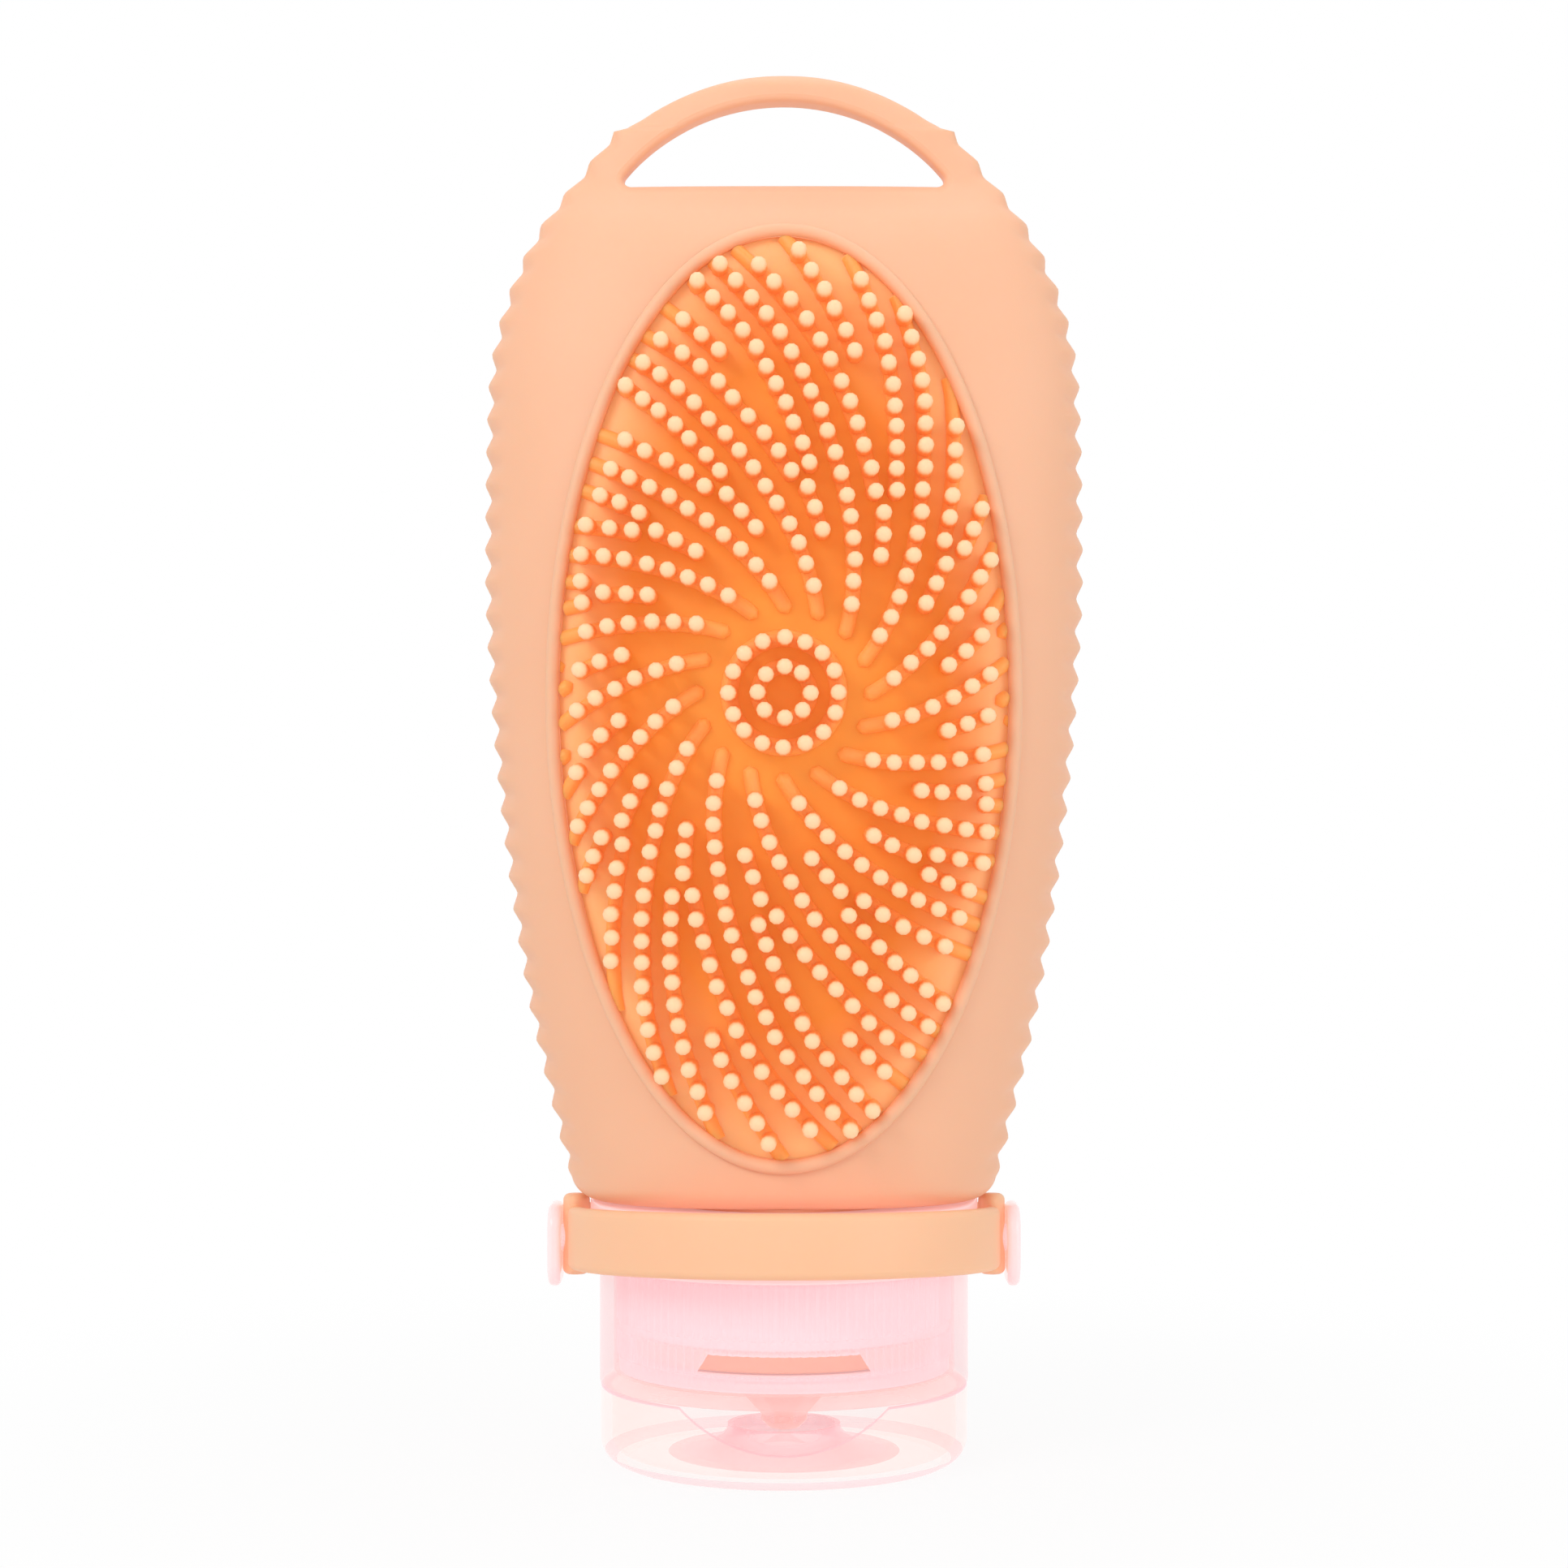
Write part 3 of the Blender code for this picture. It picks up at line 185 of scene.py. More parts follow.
HEAD_DROP = 0.0007
HEAD_CORNER = 0.003

# Cap, sleeve and lid
CAP_RADIUS = CAP_HIGH.x
CAP_WALL = 0.0016
CAP_FLOOR = LID_HIGH.z + GAP
CAP_TOP = CAP_HIGH.z
DECK_TOP = CAP_FLOOR + 0.0013
DECK_BORE = 0.0062
NOZZLE_TIP = CAP_LOW.z
NOZZLE_BEAD_FLOOR = NOZZLE_TIP + 0.0009
NOZZLE_BEAD_TOP = NOZZLE_BEAD_FLOOR + 0.0007
NOZZLE_BEAD_RADIUS = 0.0027
NOZZLE_TIP_RADIUS = 0.00175
NOZZLE_BORE_RADIUS = 0.0011
VALVE_HOLE_RADIUS = 0.005
VALVE_THICKNESS = 0.0008
VALVE_DIP = 0.001
SLIT_LENGTH = 0.0044
SLIT_WIDTH = 0.00025
RETAINER_WIDTH = 0.0035
INSERT_FLANGE = 0.0006
SEAT_TOP = RETAINER_HIGH.z
SEAT_WALL = 0.001
SLEEVE_RADIUS = SLEEVE_HIGH.x
SLEEVE_BORE_RADIUS = 0.0182
SLEEVE_FOOT = 0.0016
LOWER_BAND = 0.0032
GROOVE_HEIGHT = 0.0009
GROOVE_SLOPE = 0.0002
WINDOW_TOP_WIDTH = 0.0171
WINDOW_FLOOR_WIDTH = 0.0197
LID_RADIUS = LID_HIGH.x
LID_HEIGHT = LID_HIGH.z
LID_WALL = 0.0013
LID_FLOOR = 0.0013
LID_EDGE_RADIUS = 0.003
PIN_RADIUS = 0.0007
PIN_REACH = 0.0007
PIN_FOOT_RADIUS = 0.0032
PIN_FOOT_HEIGHT = 0.0016
CONE_FLARE = 2.6
CONE_WALL = 0.0006
NOTCH_RADIUS = 0.017
NOTCH_DEPTH = 0.00475
NOTCH_FACE_TURN = 0.1
RIM_FACE_RISE = 0.5
HINGE_WIDTH = WEB_HIGH.x - WEB_LOW.x
WEB_EDGE_SHARE = 0.4
LUG_HEIGHT = 0.003
LUG_FACE = CAP_HIGH.y

# Looks and light
CLEAR_WALLS = 40
EDGE_COVER = 2.4
SHADOW_COVER = 0.3
GRAIN_STRENGTH = 0.08
GRAIN_DEPTH = 0.00005
FLOOR_RADIUS = 0.6
SHADOW_REACH = 0.03
WHITE_REACH = 0.16
WHITE_START = 0.9
WHITE = (1, 1, 1, 1)
SENSOR_WIDTH = 36
LAMPS = (
    ("key", (-0.32, -0.42, 0.42), 0.32), ("fill", (0.45, -0.35, 0.18), 0.4), ("top", (0.02, 0.05, 0.55), 0.35),
)

SIDES = 160
SOCKET_KINDS = {float: "Float", int: "Int", tuple: "Color"}


def millimetres(name, description, default):
    """A length that a user may change, shown in the scene's unit."""
    return FloatProperty(name=name, description=description, default=default / 1000, unit="LENGTH", precision=5)


def degrees(name, description, default):
    """An angle that a user may change."""
    return FloatProperty(name=name, description=description, default=math.radians(default), subtype="ANGLE")


def whole(name, description, default, **limits):
    """A whole number that a user may change."""
    return IntProperty(name=name, description=description, default=default, **limits)


def watts(name, description, default):
    """A lamp's power."""
    return FloatProperty(name=name, description=description, default=default, unit="POWER")


def colour(name, description, red, green, blue):
    """A colour written as the screen shows it, from 0 to 255."""
    return FloatVectorProperty(
        name=name, description=description, subtype="COLOR_GAMMA", size=3, min=0, max=1,
        default=(red / 255, green / 255, blue / 255),
    )


class BodySizes(bpy.types.PropertyGroup):
    tooth_pitch: millimetres("Tooth pitch", "Distance between the grip ridges at both edges", 3.8)
    tooth_depth: millimetres("Tooth depth", "Depth of the grip ridges", 0.7)
    tooth_reach: millimetres("Tooth reach", "How far the ridges run in from the edge", 2.6)
    ring_step: millimetres("Ring step", "Height between two rings of the soft body's mesh", 0.38)
    ring_points: whole("Ring points", "Points of each ring of the soft body's mesh", 176, min=48)
    loop_edge: millimetres("Loop edge", "Rounding of the hanging loop's opening", 1.0)
    bead_radius: millimetres("Rim bead radius", "Radius of the rounded rim round the brush", 0.8)


class BrushSizes(bpy.types.PropertyGroup):
    rows: whole("Rows", "Swirling main rows of bristles", 16, min=3)
    pitch: millimetres("Pitch", "Radial distance between the bristles of a row", 2.16)
    sweep: degrees("Sweep", "How far a row turns while its radius grows by a factor of e", 32)
    phase: degrees("Phase", "Angle of the first row where it starts", 7.5)
    first_radius: millimetres("First radius", "Radius of the innermost bristle of a main row", 12.4)
    rib_start: millimetres("Rib start", "Radius of the inner end of the main ribs", 9.0)
    branch_radius: millimetres("Branch radius", "Radius at which the short branch rows start", 18.7)
    left_fork: millimetres("Left fork radius", "Radius at which the left fork rows start", 25.9)
    right_fork: millimetres("Right fork radius", "Radius at which the right fork rows start", 24.8)
    far_fork: millimetres("Far fork radius", "Radius at which the outermost rows start", 39.3)
    rib_width: millimetres("Rib width", "Width of the ribs that carry the bristles", 1.7)
    rib_height: millimetres("Rib height", "Height of the ribs over the pad's floor", 1.0)
    bristle_length: millimetres("Bristle length", "Length of the bristles over the pad's floor", 5.5)
    bristle_radius: millimetres("Bristle radius", "Radius of a bristle near its tip", 0.9)
    tilt: degrees("Tilt", "Largest random lean of a bristle", 1.5)
    seed: whole("Seed", "Seed of the random lean", 4)


class CapSizes(bpy.types.PropertyGroup):
    knurl_count: whole("Knurl ribs", "Fine ribs round the inner sleeve", 104)
    knurl_depth: millimetres("Knurl depth", "Depth of the sleeve's fine ribs", 0.3)
    edge_radius: millimetres("Edge radius", "Rounding of the cap's moulded edges", 0.35)
    thread_pitch: millimetres("Thread pitch", "Rise of the collar's thread in one turn", 4.0)
    thread_radius: millimetres("Thread size", "Height of the collar's thread", 0.35)
    cone_radius: millimetres("Cone radius", "Foot radius of the lid's inner cone", 13.5)
    cone_top_radius: millimetres("Cone top radius", "Top radius of the lid's inner cone", 6.6)
    cone_height: millimetres("Cone height", "Level of the top of the lid's inner cone", 4.2)


class Finishes(bpy.types.PropertyGroup):
    silicone: colour("Body silicone", "Colour of the bottle's soft silicone", 254, 195, 160)
    # Painted shade: the pad's floor colour is its deep orange among the bristles, partly its own colour and partly
    # shade, and the pad's edge colour is the paler orange by the rim, where less shade falls.
    floor: colour("Pad silicone", "Colour of the pad between the bristles", 243, 158, 66)
    lit_pad_edge: colour("Pad edge silicone", "Colour of the pad by its rim", 255, 188, 130)
    rib: colour("Rib silicone", "Colour of the ribs that carry the bristles", 252, 170, 96)
    # Painted light: the bristles pale from the rib colour at their shaded feet to this cream at their lit tips.
    tip: colour("Bristle tips", "Colour of the bristles' tips", 252, 212, 168)
    strap: colour("Strap silicone", "Colour of the strap", 254, 200, 161)
    pink: colour("Pink plastic", "Colour of the clear plastic of the cap", 252, 206, 209)
    # Painted highlight: the lid is the cap's own plastic, tinted paler cream for the light that shows through and off
    # its thin walls.
    lid: colour("Lid plastic", "Colour of the clear plastic of the lid", 255, 226, 216)
    # Painted shade: a denser, darker copy of the lid plastic on the notch's cut faces and the rim's top, for the dark
    # line that the edge-on wall shows.
    edge: colour("Lid edge plastic", "Colour in which the edge of the thumb notch shows", 246, 196, 208)
    # Painted shade: a pinker copy of the lid plastic, on the inner cone and the lid's lower rounded edge, for the
    # pink flare that light bent through the lid shows.
    cone: colour("Cone plastic", "Colour in which the lid's inner cone shows through its wall", 250, 198, 206)
    pale: colour("Pale plastic", "Colour of the clear plastic of collar and inner rings", 255, 226, 227)
    mist: colour("Sleeve plastic", "Colour in which the sleeve shows through the cap's wall", 252, 232, 238)
    # Painted light: the deck and nozzle take this copy of the cap plastic with a stronger painted glow, which lifts
    # the shade inside the cap.
    deck: colour("Deck plastic", "Colour in which the cap's deck shows through its walls", 253, 208, 200)
    seal: colour("Seal silicone", "Colour of the washer and the valve", 240, 226, 220)


class StageSizes(bpy.types.PropertyGroup):
    camera_distance: millimetres("Camera distance", "Distance of the camera from the bottle's axis", 400.0)
    camera_level: millimetres("Camera level", "Height of the camera over the floor", 78.9)
    picture_width: millimetres("Picture width", "Width that the picture shows at the bottle's axis", 183.54)
    key: watts("Key light", "Power of the main lamp", 1.2)
    fill: watts("Fill light", "Power of the lamp opposite", 0.65)
    top: watts("Top light", "Power of the lamp overhead", 0.4)
    sky: FloatProperty(name="Sky", description="Strength of the even light all round", default=0.6, min=0)


# Shapes shared by several pieces


def add_piece(name, mesh):
    """Links a mesh to the scene at the origin."""
    piece = bpy.data.objects.new(name, mesh)
    bpy.context.scene.collection.objects.link(piece)
    return piece


def loose_piece(name, shape):
    """Makes a piece of a bmesh as it is."""
    mesh = bpy.data.meshes.new(name)
    shape.to_mesh(mesh)
    shape.free()
    return add_piece(name, mesh)


def piece_from(name, shape, material=None):
    """Makes a piece of a bmesh, with its faces turned outward."""
    bmesh.ops.recalc_face_normals(shape, faces=shape.faces[:])
    piece = loose_piece(name, shape)
    if material:
        piece.data.materials.append(material)
    return piece


def empty_piece(name):
    return add_piece(name, bpy.data.meshes.new(name))


def remove(*pieces):
    for piece in pieces:
        mesh = piece.data
        bpy.data.objects.remove(piece)
        bpy.data.meshes.remove(mesh)


def settle(piece):
    """Turns a piece and its modifiers into a plain mesh."""
    graph = bpy.context.evaluated_depsgraph_get()
    mesh = bpy.data.meshes.new_from_object(
        piece.evaluated_get(graph), preserve_all_data_layers=True, depsgraph=graph
    )
    before = piece.data
    piece.modifiers.clear()
    piece.data = mesh
    bpy.data.meshes.remove(before)
    mesh.name = piece.name


def finish_piece(piece, body, slot, *nodes, sharp=35):
    """Settles and smooths a piece, hands it to its CAD body and takes the place of its CAD nodes."""
    settle(piece)
    piece.data.shade_smooth()
    piece.data.set_sharp_from_angle(angle=math.radians(sharp))
    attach(piece, body)
    if nodes:
        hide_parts(*nodes)


def combine(piece, operation, *cutters):
    """Cuts the cutters from a piece or joins them to it, and removes them."""
    for cutter in cutters:
        step = piece.modifiers.new(operation.lower(), "BOOLEAN")
        step.operation = operation
        step.solver = "EXACT"
        step.object = cutter
    settle(piece)
    remove(*cutters)


def net(shape, rings, closed=True):
    """Joins rings of points with quads. A ring of one point is a pole."""
    made = [[shape.verts.new(point) for point in ring] for ring in rings]
    for lower, upper in zip(made, made[1:]):
        count = max(len(lower), len(upper))
        for index in range(count if closed else count - 1):
            following = (index + 1) % count
            if len(lower) == 1:
                shape.faces.new((lower[0], upper[following], upper[index]))
            elif len(upper) == 1:
                shape.faces.new((lower[index], lower[following], upper[0]))
            else:
                shape.faces.new((lower[index], lower[following], upper[following], upper[index]))
    return made


def piece_of_rings(name, rings, material=None, capped=False):
    """Rings of points joined with quads, and closed at both ends if asked."""
    shape = bmesh.new()
    made = net(shape, rings)
    if capped:
        shape.faces.new(made[0])
        shape.faces.new(made[-1])
    return piece_from(name, shape, material)


def rounded(corners, closed=False, steps=4):
    """Profile points of (radius, height, rounding) corners, where each rounding is an arc."""
    points = []
    count = len(corners)
    for index, (radius, height, rounding) in enumerate(corners):
        corner = Vector((radius, height))
        if not rounding or (not closed and index in (0, count - 1)):
            points.append(corner)
            continue
        before = Vector(corners[index - 1][:2]) - corner
        after = Vector(corners[(index + 1) % count][:2]) - corner
        half_angle = before.angle(after) / 2
        reach = min(rounding / math.tan(half_angle), before.length / 2, after.length / 2)
        arc_radius = reach * math.tan(half_angle)
        middle = corner + (before.normalized() + after.normalized()).normalized() * math.hypot(reach, arc_radius)
        start = corner + before.normalized() * reach - middle
        turn = start.angle_signed(corner + after.normalized() * reach - middle)
        for step in range(steps + 1):
            angle = -turn * step / steps
            points.append(middle + Matrix.Rotation(angle, 2) @ start)
    return points


def rectangle(wide, high, corner, steps):
    """The outline of a rectangle of half sizes with round corners."""
    return rounded([
        (wide, -high, corner), (wide, high, corner), (-wide, high, corner), (-wide, -high, corner)
    ], closed=True, steps=steps)


def ring_profile(outer, bore, low, high, edge):
    """The profile of a flat ring with rounded edges."""
    return rounded([(outer, high, edge), (outer, low, edge), (bore, low, edge), (bore, high, edge)], closed=True)


def circle(count):
    """The points of a circle of radius 1, from +X round to +Y."""
    return [(math.cos(math.tau * index / count), math.sin(math.tau * index / count)) for index in range(count)]


def circle_ring(radius, level, count):
    return [(radius * x, radius * y, level) for x, y in circle(count)]


def turned(name, profile, material=None, closed=True, sides=SIDES):
    """A profile of (radius, height) points turned about Z. An open profile ends on the axis."""
    shape = bmesh.new()
    net(shape, [
        [(0, 0, height)] if radius < MERGE_DISTANCE else circle_ring(radius, height, sides)
        for radius, height in (profile + profile[:1] if closed else profile)
    ])
    bmesh.ops.remove_doubles(shape, verts=shape.verts, dist=MERGE_DISTANCE)
    return piece_from(name, shape, material)


def rod(name, radius, length, centre, axis, sides):
    """A cylinder along an axis."""
    shape = bmesh.new()
    bmesh.ops.create_cone(shape, cap_ends=True, segments=sides, radius1=radius, radius2=radius, depth=length)
    turn = Vector((0, 0, 1)).rotation_difference(Vector(axis)).to_matrix()
    bmesh.ops.rotate(shape, matrix=turn, verts=shape.verts)
    bmesh.ops.translate(shape, vec=centre, verts=shape.verts)
    return piece_from(name, shape)


def block(name, low, high, edge=0.0):
    """A box between two corners, with rounded edges if asked."""
    shape = bmesh.new()
    bmesh.ops.create_cube(shape, size=1)
    low, high = Vector(low), Vector(high)
    bmesh.ops.scale(shape, vec=high - low, verts=shape.verts)
    bmesh.ops.translate(shape, vec=(low + high) / 2, verts=shape.verts)
    if edge:
        bmesh.ops.bevel(shape, geom=shape.edges[:], offset=edge, segments=3, profile=1 / 2, affect="EDGES")
    return piece_from(name, shape)


def prism(name, outline, front, back):
    """An outline of (x, level) points made solid between two depths."""
    shape = bmesh.new()
    face = shape.faces.new([shape.verts.new((x, front, level)) for x, level in outline])
    grown = bmesh.ops.extrude_face_region(shape, geom=[face])["geom"]
    moved = [item for item in grown if isinstance(item, bmesh.types.BMVert)]
    bmesh.ops.translate(shape, vec=(0, back - front, 0), verts=moved)
    return piece_from(name, shape)


# Node trees


class Flow:
    """A socket of a node tree under construction, on which sums are written as formulas."""

    def __init__(self, form, socket):
        self.form, self.socket = form, socket

    def out(self, label):
        """Another output of the same node."""
        return Flow(self.form, self.socket.node.outputs[label])

    def __add__(self, other):
        return self.form.sum("ADD", self, other)

    def __sub__(self, other):
        return self.form.sum("SUBTRACT", self, other)

    def __rsub__(self, other):
        return self.form.sum("SUBTRACT", other, self)

    def __mul__(self, other):
        return self.form.sum("MULTIPLY", self, other)

    def __truediv__(self, other):
        return self.form.sum("DIVIDE", self, other)


class FormTree:
    """A node tree under construction, whose nodes are added from left to right."""

    def __init__(self, tree, start=None):
        self.tree, self.start = tree, start

    def __getitem__(self, label):
        """The group's own input of that name."""
        return Flow(self, self.start.outputs[label])

    def feed(self, node, sources):
        """Links or sets a node's inputs. The sources are flows or values, in order or by name."""
        for key, source in sources.items() if isinstance(sources, dict) else enumerate(sources):
            if isinstance(source, Flow):
                self.tree.links.new(source.socket, node.inputs[key])
            else:
                node.inputs[key].default_value = source

    def put(self, kind, sources=(), output=0, **settings):
        """Adds a node with its sources and gives one of its outputs."""
        node = self.tree.nodes.new(kind)
        node.location.x = 180 * len(self.tree.nodes)
        for key, value in settings.items():
            setattr(node, key, value)
        self.feed(node, sources)
        return Flow(self, node.outputs[output]) if node.outputs else None

    def sum(self, operation, *values):
        """The result of a Math node."""
        return self.put("ShaderNodeMath", values, operation=operation)

    def point(self, x, y, z):
        return self.put("ShaderNodeCombineXYZ", (x, y, z))

    def position(self):
        """The X, Y and Z of each point."""
        x = self.put("ShaderNodeSeparateXYZ", (self.put("GeometryNodeInputPosition"),))
        return x, x.out("Y"), x.out("Z")

    def named(self, name, kind="FLOAT"):
        """An attribute that the mesh or the points carry."""
        return self.put("GeometryNodeInputNamedAttribute", {"Name": name}, data_type=kind)

    def moved(self, offset):
        """The group's geometry with its points moved."""
        return self.put("GeometryNodeSetPosition", {"Geometry": self["Geometry"], "Offset": offset})

    def tube(self, line, radius, sides, capped=False):
        """A round tube along a curve."""
        profile = self.put("GeometryNodeCurvePrimitiveCircle", {"Resolution": sides, "Radius": radius})
        return self.put("GeometryNodeCurveToMesh", {"Curve": line, "Profile Curve": profile, "Fill Caps": capped})

    def joined(self, parts):
        whole = self.put("GeometryNodeJoinGeometry")
        for part in reversed(parts):
            self.feed(whole.socket.node, (part,))
        return whole

    def noise(self, scale, detail):
        """A noise on Object coordinates, whose scale is the group's input of that name."""
        place = self.put("ShaderNodeTexCoord", (), "Object")
        return self.put("ShaderNodeTexNoise", {"Vector": place, "Scale": self[scale], "Detail": detail})

    def finish(self, geometry, smooth=False):
        """Ends the tree in Realize Instances and Set Material."""
        if smooth:
            geometry = self.put("GeometryNodeSetShadeSmooth", (geometry,))
        real = self.put("GeometryNodeRealizeInstances", (geometry,))
        return self.give(self.put("GeometryNodeSetMaterial", {"Geometry": real, "Material": self["Material"]}))

    def give(self, *results):
        self.put("NodeGroupOutput", results)
        return self.tree


def group_tree(name, kind, inputs, outputs):
    """A node group's tree with its sockets. Each socket has its default value or, as a word, its kind."""
    tree = bpy.data.node_groups.new(name, kind)
    for in_out, sockets in (("INPUT", inputs), ("OUTPUT", outputs)):
        for label, value in sockets.items():
            word = value if isinstance(value, str) else SOCKET_KINDS[type(value)]
            socket = tree.interface.new_socket(name=label, in_out=in_out, socket_type=f"NodeSocket{word}")
            if word != value:
                socket.default_value = value
    return FormTree(tree, tree.nodes.new("NodeGroupInput"))


def geometry_tree(name, inputs):
    """The tree of a geometry node group that gives one geometry."""
    return group_tree(name, "GeometryNodeTree", inputs, {"Geometry": "Geometry"})


def run_tree(piece, tree, **values):
    """Runs a tree on a piece, with its inputs set by name, and keeps the result as a plain mesh."""
    form = piece.modifiers.new(tree.name, "NODES")
    form.node_group = tree
    labels = {label.replace("_", " ").capitalize(): value for label, value in values.items()}
    for item in tree.interface.items_tree:
        if item.in_out == "INPUT" and item.name in labels:
            form[item.identifier] = labels.pop(item.name)
    if labels:
        raise ValueError(f"{tree.name} has no input named {', '.join(labels)}")
    settle(piece)
    return piece


# Bottle body


def smooth_through(shares, place):
    """The value at a place on the smooth curve through a table of (place, value) shares."""
    last = len(shares) - 1
    place = min(max(place, shares[0][0]), shares[last][0])
    index = max(i for i in range(last) if shares[i][0] <= place)
    (start, low), (end, high) = shares[index], shares[index + 1]

    def slope(i):
        before, after = shares[max(i - 1, 0)], shares[min(i + 1, last)]
        return (after[1] - before[1]) / (after[0] - before[0])

    span = end - start
    t = (place - start) / span
    return (
        low * (2 * t**3 - 3 * t**2 + 1) + high * (3 * t**2 - 2 * t**3)
        + slope(index) * span * (t**3 - 2 * t**2 + t) + slope(index + 1) * span * (t**3 - t**2)
    )


def length_share(level):
    return (level - BODY_FLOOR) / BODY_LENGTH


def foot_inset(level):
    """How far the rounded bottom edge draws the section in."""
    drop = FOOT_RADIUS - (level - BODY_FLOOR)
    return FOOT_RADIUS - math.sqrt(max(FOOT_RADIUS**2 - drop**2, 0)) if drop > 0 else 0


def half_width(level):
    """Half the body's width: the sides up to the shoulder, then the loop's round outside."""
    if length_share(level) > SHOULDER_SHARE:
        rise = level - (BODY_TOP - LOOP_OUTER_RADIUS)
        return math.sqrt(max(LOOP_OUTER_RADIUS**2 - rise**2, 0))
    return BODY_HALF_WIDTH * smooth_through(WIDTH_SHARES, length_share(level)) - foot_inset(level)


def half_depth(level):
    """Half the body's depth, rounded off over the loop's bar."""
    depth = BODY_HALF_DEPTH * smooth_through(DEPTH_SHARES, length_share(level))
    bar_middle = BODY_TOP - LOOP_BAR / 2
    if level > bar_middle:
        depth *= math.sqrt(max(1 - ((level - bar_middle) / (BODY_TOP - bar_middle)) ** 2, 0))
    return depth - foot_inset(level)


def front_depth(x, level):
    """How far the body's front surface lies in front of the XZ plane."""
    share = min(abs(x) / half_width(level), 1)
    return half_depth(level) * (1 - share**SECTION_POWER) ** (1 / SECTION_POWER)


def quarter_section(width, depth, count):
    """Evenly spaced points of a quarter of a rounded section, from the side edge to the middle."""
    fine = 6 * count
    path = [Vector((width, 0))]
    for step in range(1, fine + 1):
        angle = math.pi / 2 * step / fine
        path.append(Vector((
            width * max(math.cos(angle), 0) ** (2 / SECTION_POWER), depth * math.sin(angle) ** (2 / SECTION_POWER)
        )))
    lengths = [0.0]
    for before, after in zip(path, path[1:]):
        lengths.append(lengths[-1] + (after - before).length)
    points, place = [], 0
    for index in range(count):
        wanted = lengths[-1] * index / count
        while lengths[place + 1] < wanted:
            place += 1
        share = (wanted - lengths[place]) / (lengths[place + 1] - lengths[place])
        points.append(path[place].lerp(path[place + 1], share))
    return points + [path[-1]]


def section(level, width, front, back, count):
    """A closed ring of points from the right edge round the back and the front."""
    rear = quarter_section(width, back, count // 4)
    face = rear if front == back else quarter_section(width, front, count // 4)
    ring = [(x, y) for x, y in rear] + [(-x, y) for x, y in rear[-2::-1]]
    ring += [(-x, -y) for x, y in face[1:]] + [(x, -y) for x, y in face[-2:0:-1]]
    return [(x, y, level) for x, y in ring]


def between(first, second, share):
    return [Vector(start).lerp(Vector(end), share) for start, end in zip(first, second)]


def body_rings(sizes):
    """Rings from the loop's top down the outside, round the neck's lip and up the inside to its dome."""
    count = sizes.ring_points // 4 * 4
    arc_centre = BODY_TOP - LOOP_OUTER_RADIUS
    arc_end = math.acos((SHOULDER_LEVEL - arc_centre) / LOOP_OUTER_RADIUS)
    arc_steps = round(LOOP_OUTER_RADIUS * arc_end / sizes.ring_step)
    levels = [arc_centre + LOOP_OUTER_RADIUS * math.cos(arc_end * step / arc_steps) for step in range(1, arc_steps)]
    foot_top = BODY_FLOOR + FOOT_RADIUS
    steps = round((SHOULDER_LEVEL - foot_top) / sizes.ring_step)
    levels += [SHOULDER_LEVEL + (foot_top - SHOULDER_LEVEL) * step / steps for step in range(steps)]
    foot_steps = 10
    levels += [foot_top - FOOT_RADIUS * math.sin(math.pi / 2 * step / foot_steps) for step in range(foot_steps + 1)]
    rings = [[(0, 0, BODY_TOP)]]
    for level in levels:
        rings.append(section(level, half_width(level), half_depth(level), half_depth(level), count))
    outside = len(rings)

    neck = circle_ring(NECK_RADIUS, BODY_FLOOR, count)
    rings += [between(rings[outside - 1], neck, share / 4) for share in range(1, 4)]
    inner_floor = BODY_FLOOR + BODY_WALL
    lip = rounded([
        (NECK_RADIUS, BODY_FLOOR, 0), (NECK_RADIUS, LIP_TOP, GAP), (LIP_RADIUS, LIP_TOP, GAP),
        (LIP_RADIUS, LIP_FLOOR, GAP), (NECK_BORE_RADIUS, LIP_FLOOR, GAP), (NECK_BORE_RADIUS, inner_floor, 0),
    ])
    rings += [circle_ring(radius, level, count) for radius, level in lip]

    roof = OVAL_LEVEL + OVAL_HALF_HEIGHT - BODY_WALL - POCKET_DEPTH
    cavity_steps = 40
    for step in range(cavity_steps):
        share = math.sin(math.pi / 2 * step / cavity_steps)
        level = inner_floor + (roof - inner_floor) * share
        shrink = (1 - share**ROOF_POWER) ** (1 / 3)
        width, depth = half_width(level) - BODY_WALL - TOOTH_DEPTH, half_depth(level) - BODY_WALL
        ring = section(level, width * shrink, (depth - POCKET_DEPTH) * shrink, depth * shrink, count)
        if not step:
            rings += [between(rings[-1], ring, part / 3) for part in (1, 2)]
        rings.append(ring)
    rings.append([(0, 0, roof)])
    return rings, outside


def grip_teeth():
    """The tree that waves both side edges in and out to grip ridges."""
    form = geometry_tree("grip_teeth", {
        "Geometry": "Geometry", "Tooth pitch": 0.0038, "Tooth depth": 0.0007, "Tooth reach": 0.0026,
        "Top level": 0.155, "Floor level": 0.035, "Material": "Material",
    })
    pitch, reach, top, floor = (form[label] for label in ("Tooth pitch", "Tooth reach", "Top level", "Floor level"))
    side, _, level = form.position()
    phase = (top - level) / pitch * math.tau
    wave = form.sum("COSINE", phase) + form.sum("COSINE", phase * 3) * TOOTH_SHARPNESS
    half_pitch = pitch * 0.5

    def fade(value, start, end):
        return form.put("ShaderNodeMapRange", {
            "Value": value, "From Min": start, "From Max": end, "To Min": 1, "To Max": 0,
        }, interpolation_type="SMOOTHSTEP")

    near = fade(form.named("side_gap"), reach * TOOTH_FADE_SHARE, reach)
    above = fade(level, top, top + half_pitch)
    below = fade(level, floor, floor - half_pitch)
    push = wave * near * (above * below) * (form["Tooth depth"] * 0.5)
    return form.finish(form.moved(form.point(push * form.sum("SIGN", side), 0, 0)))


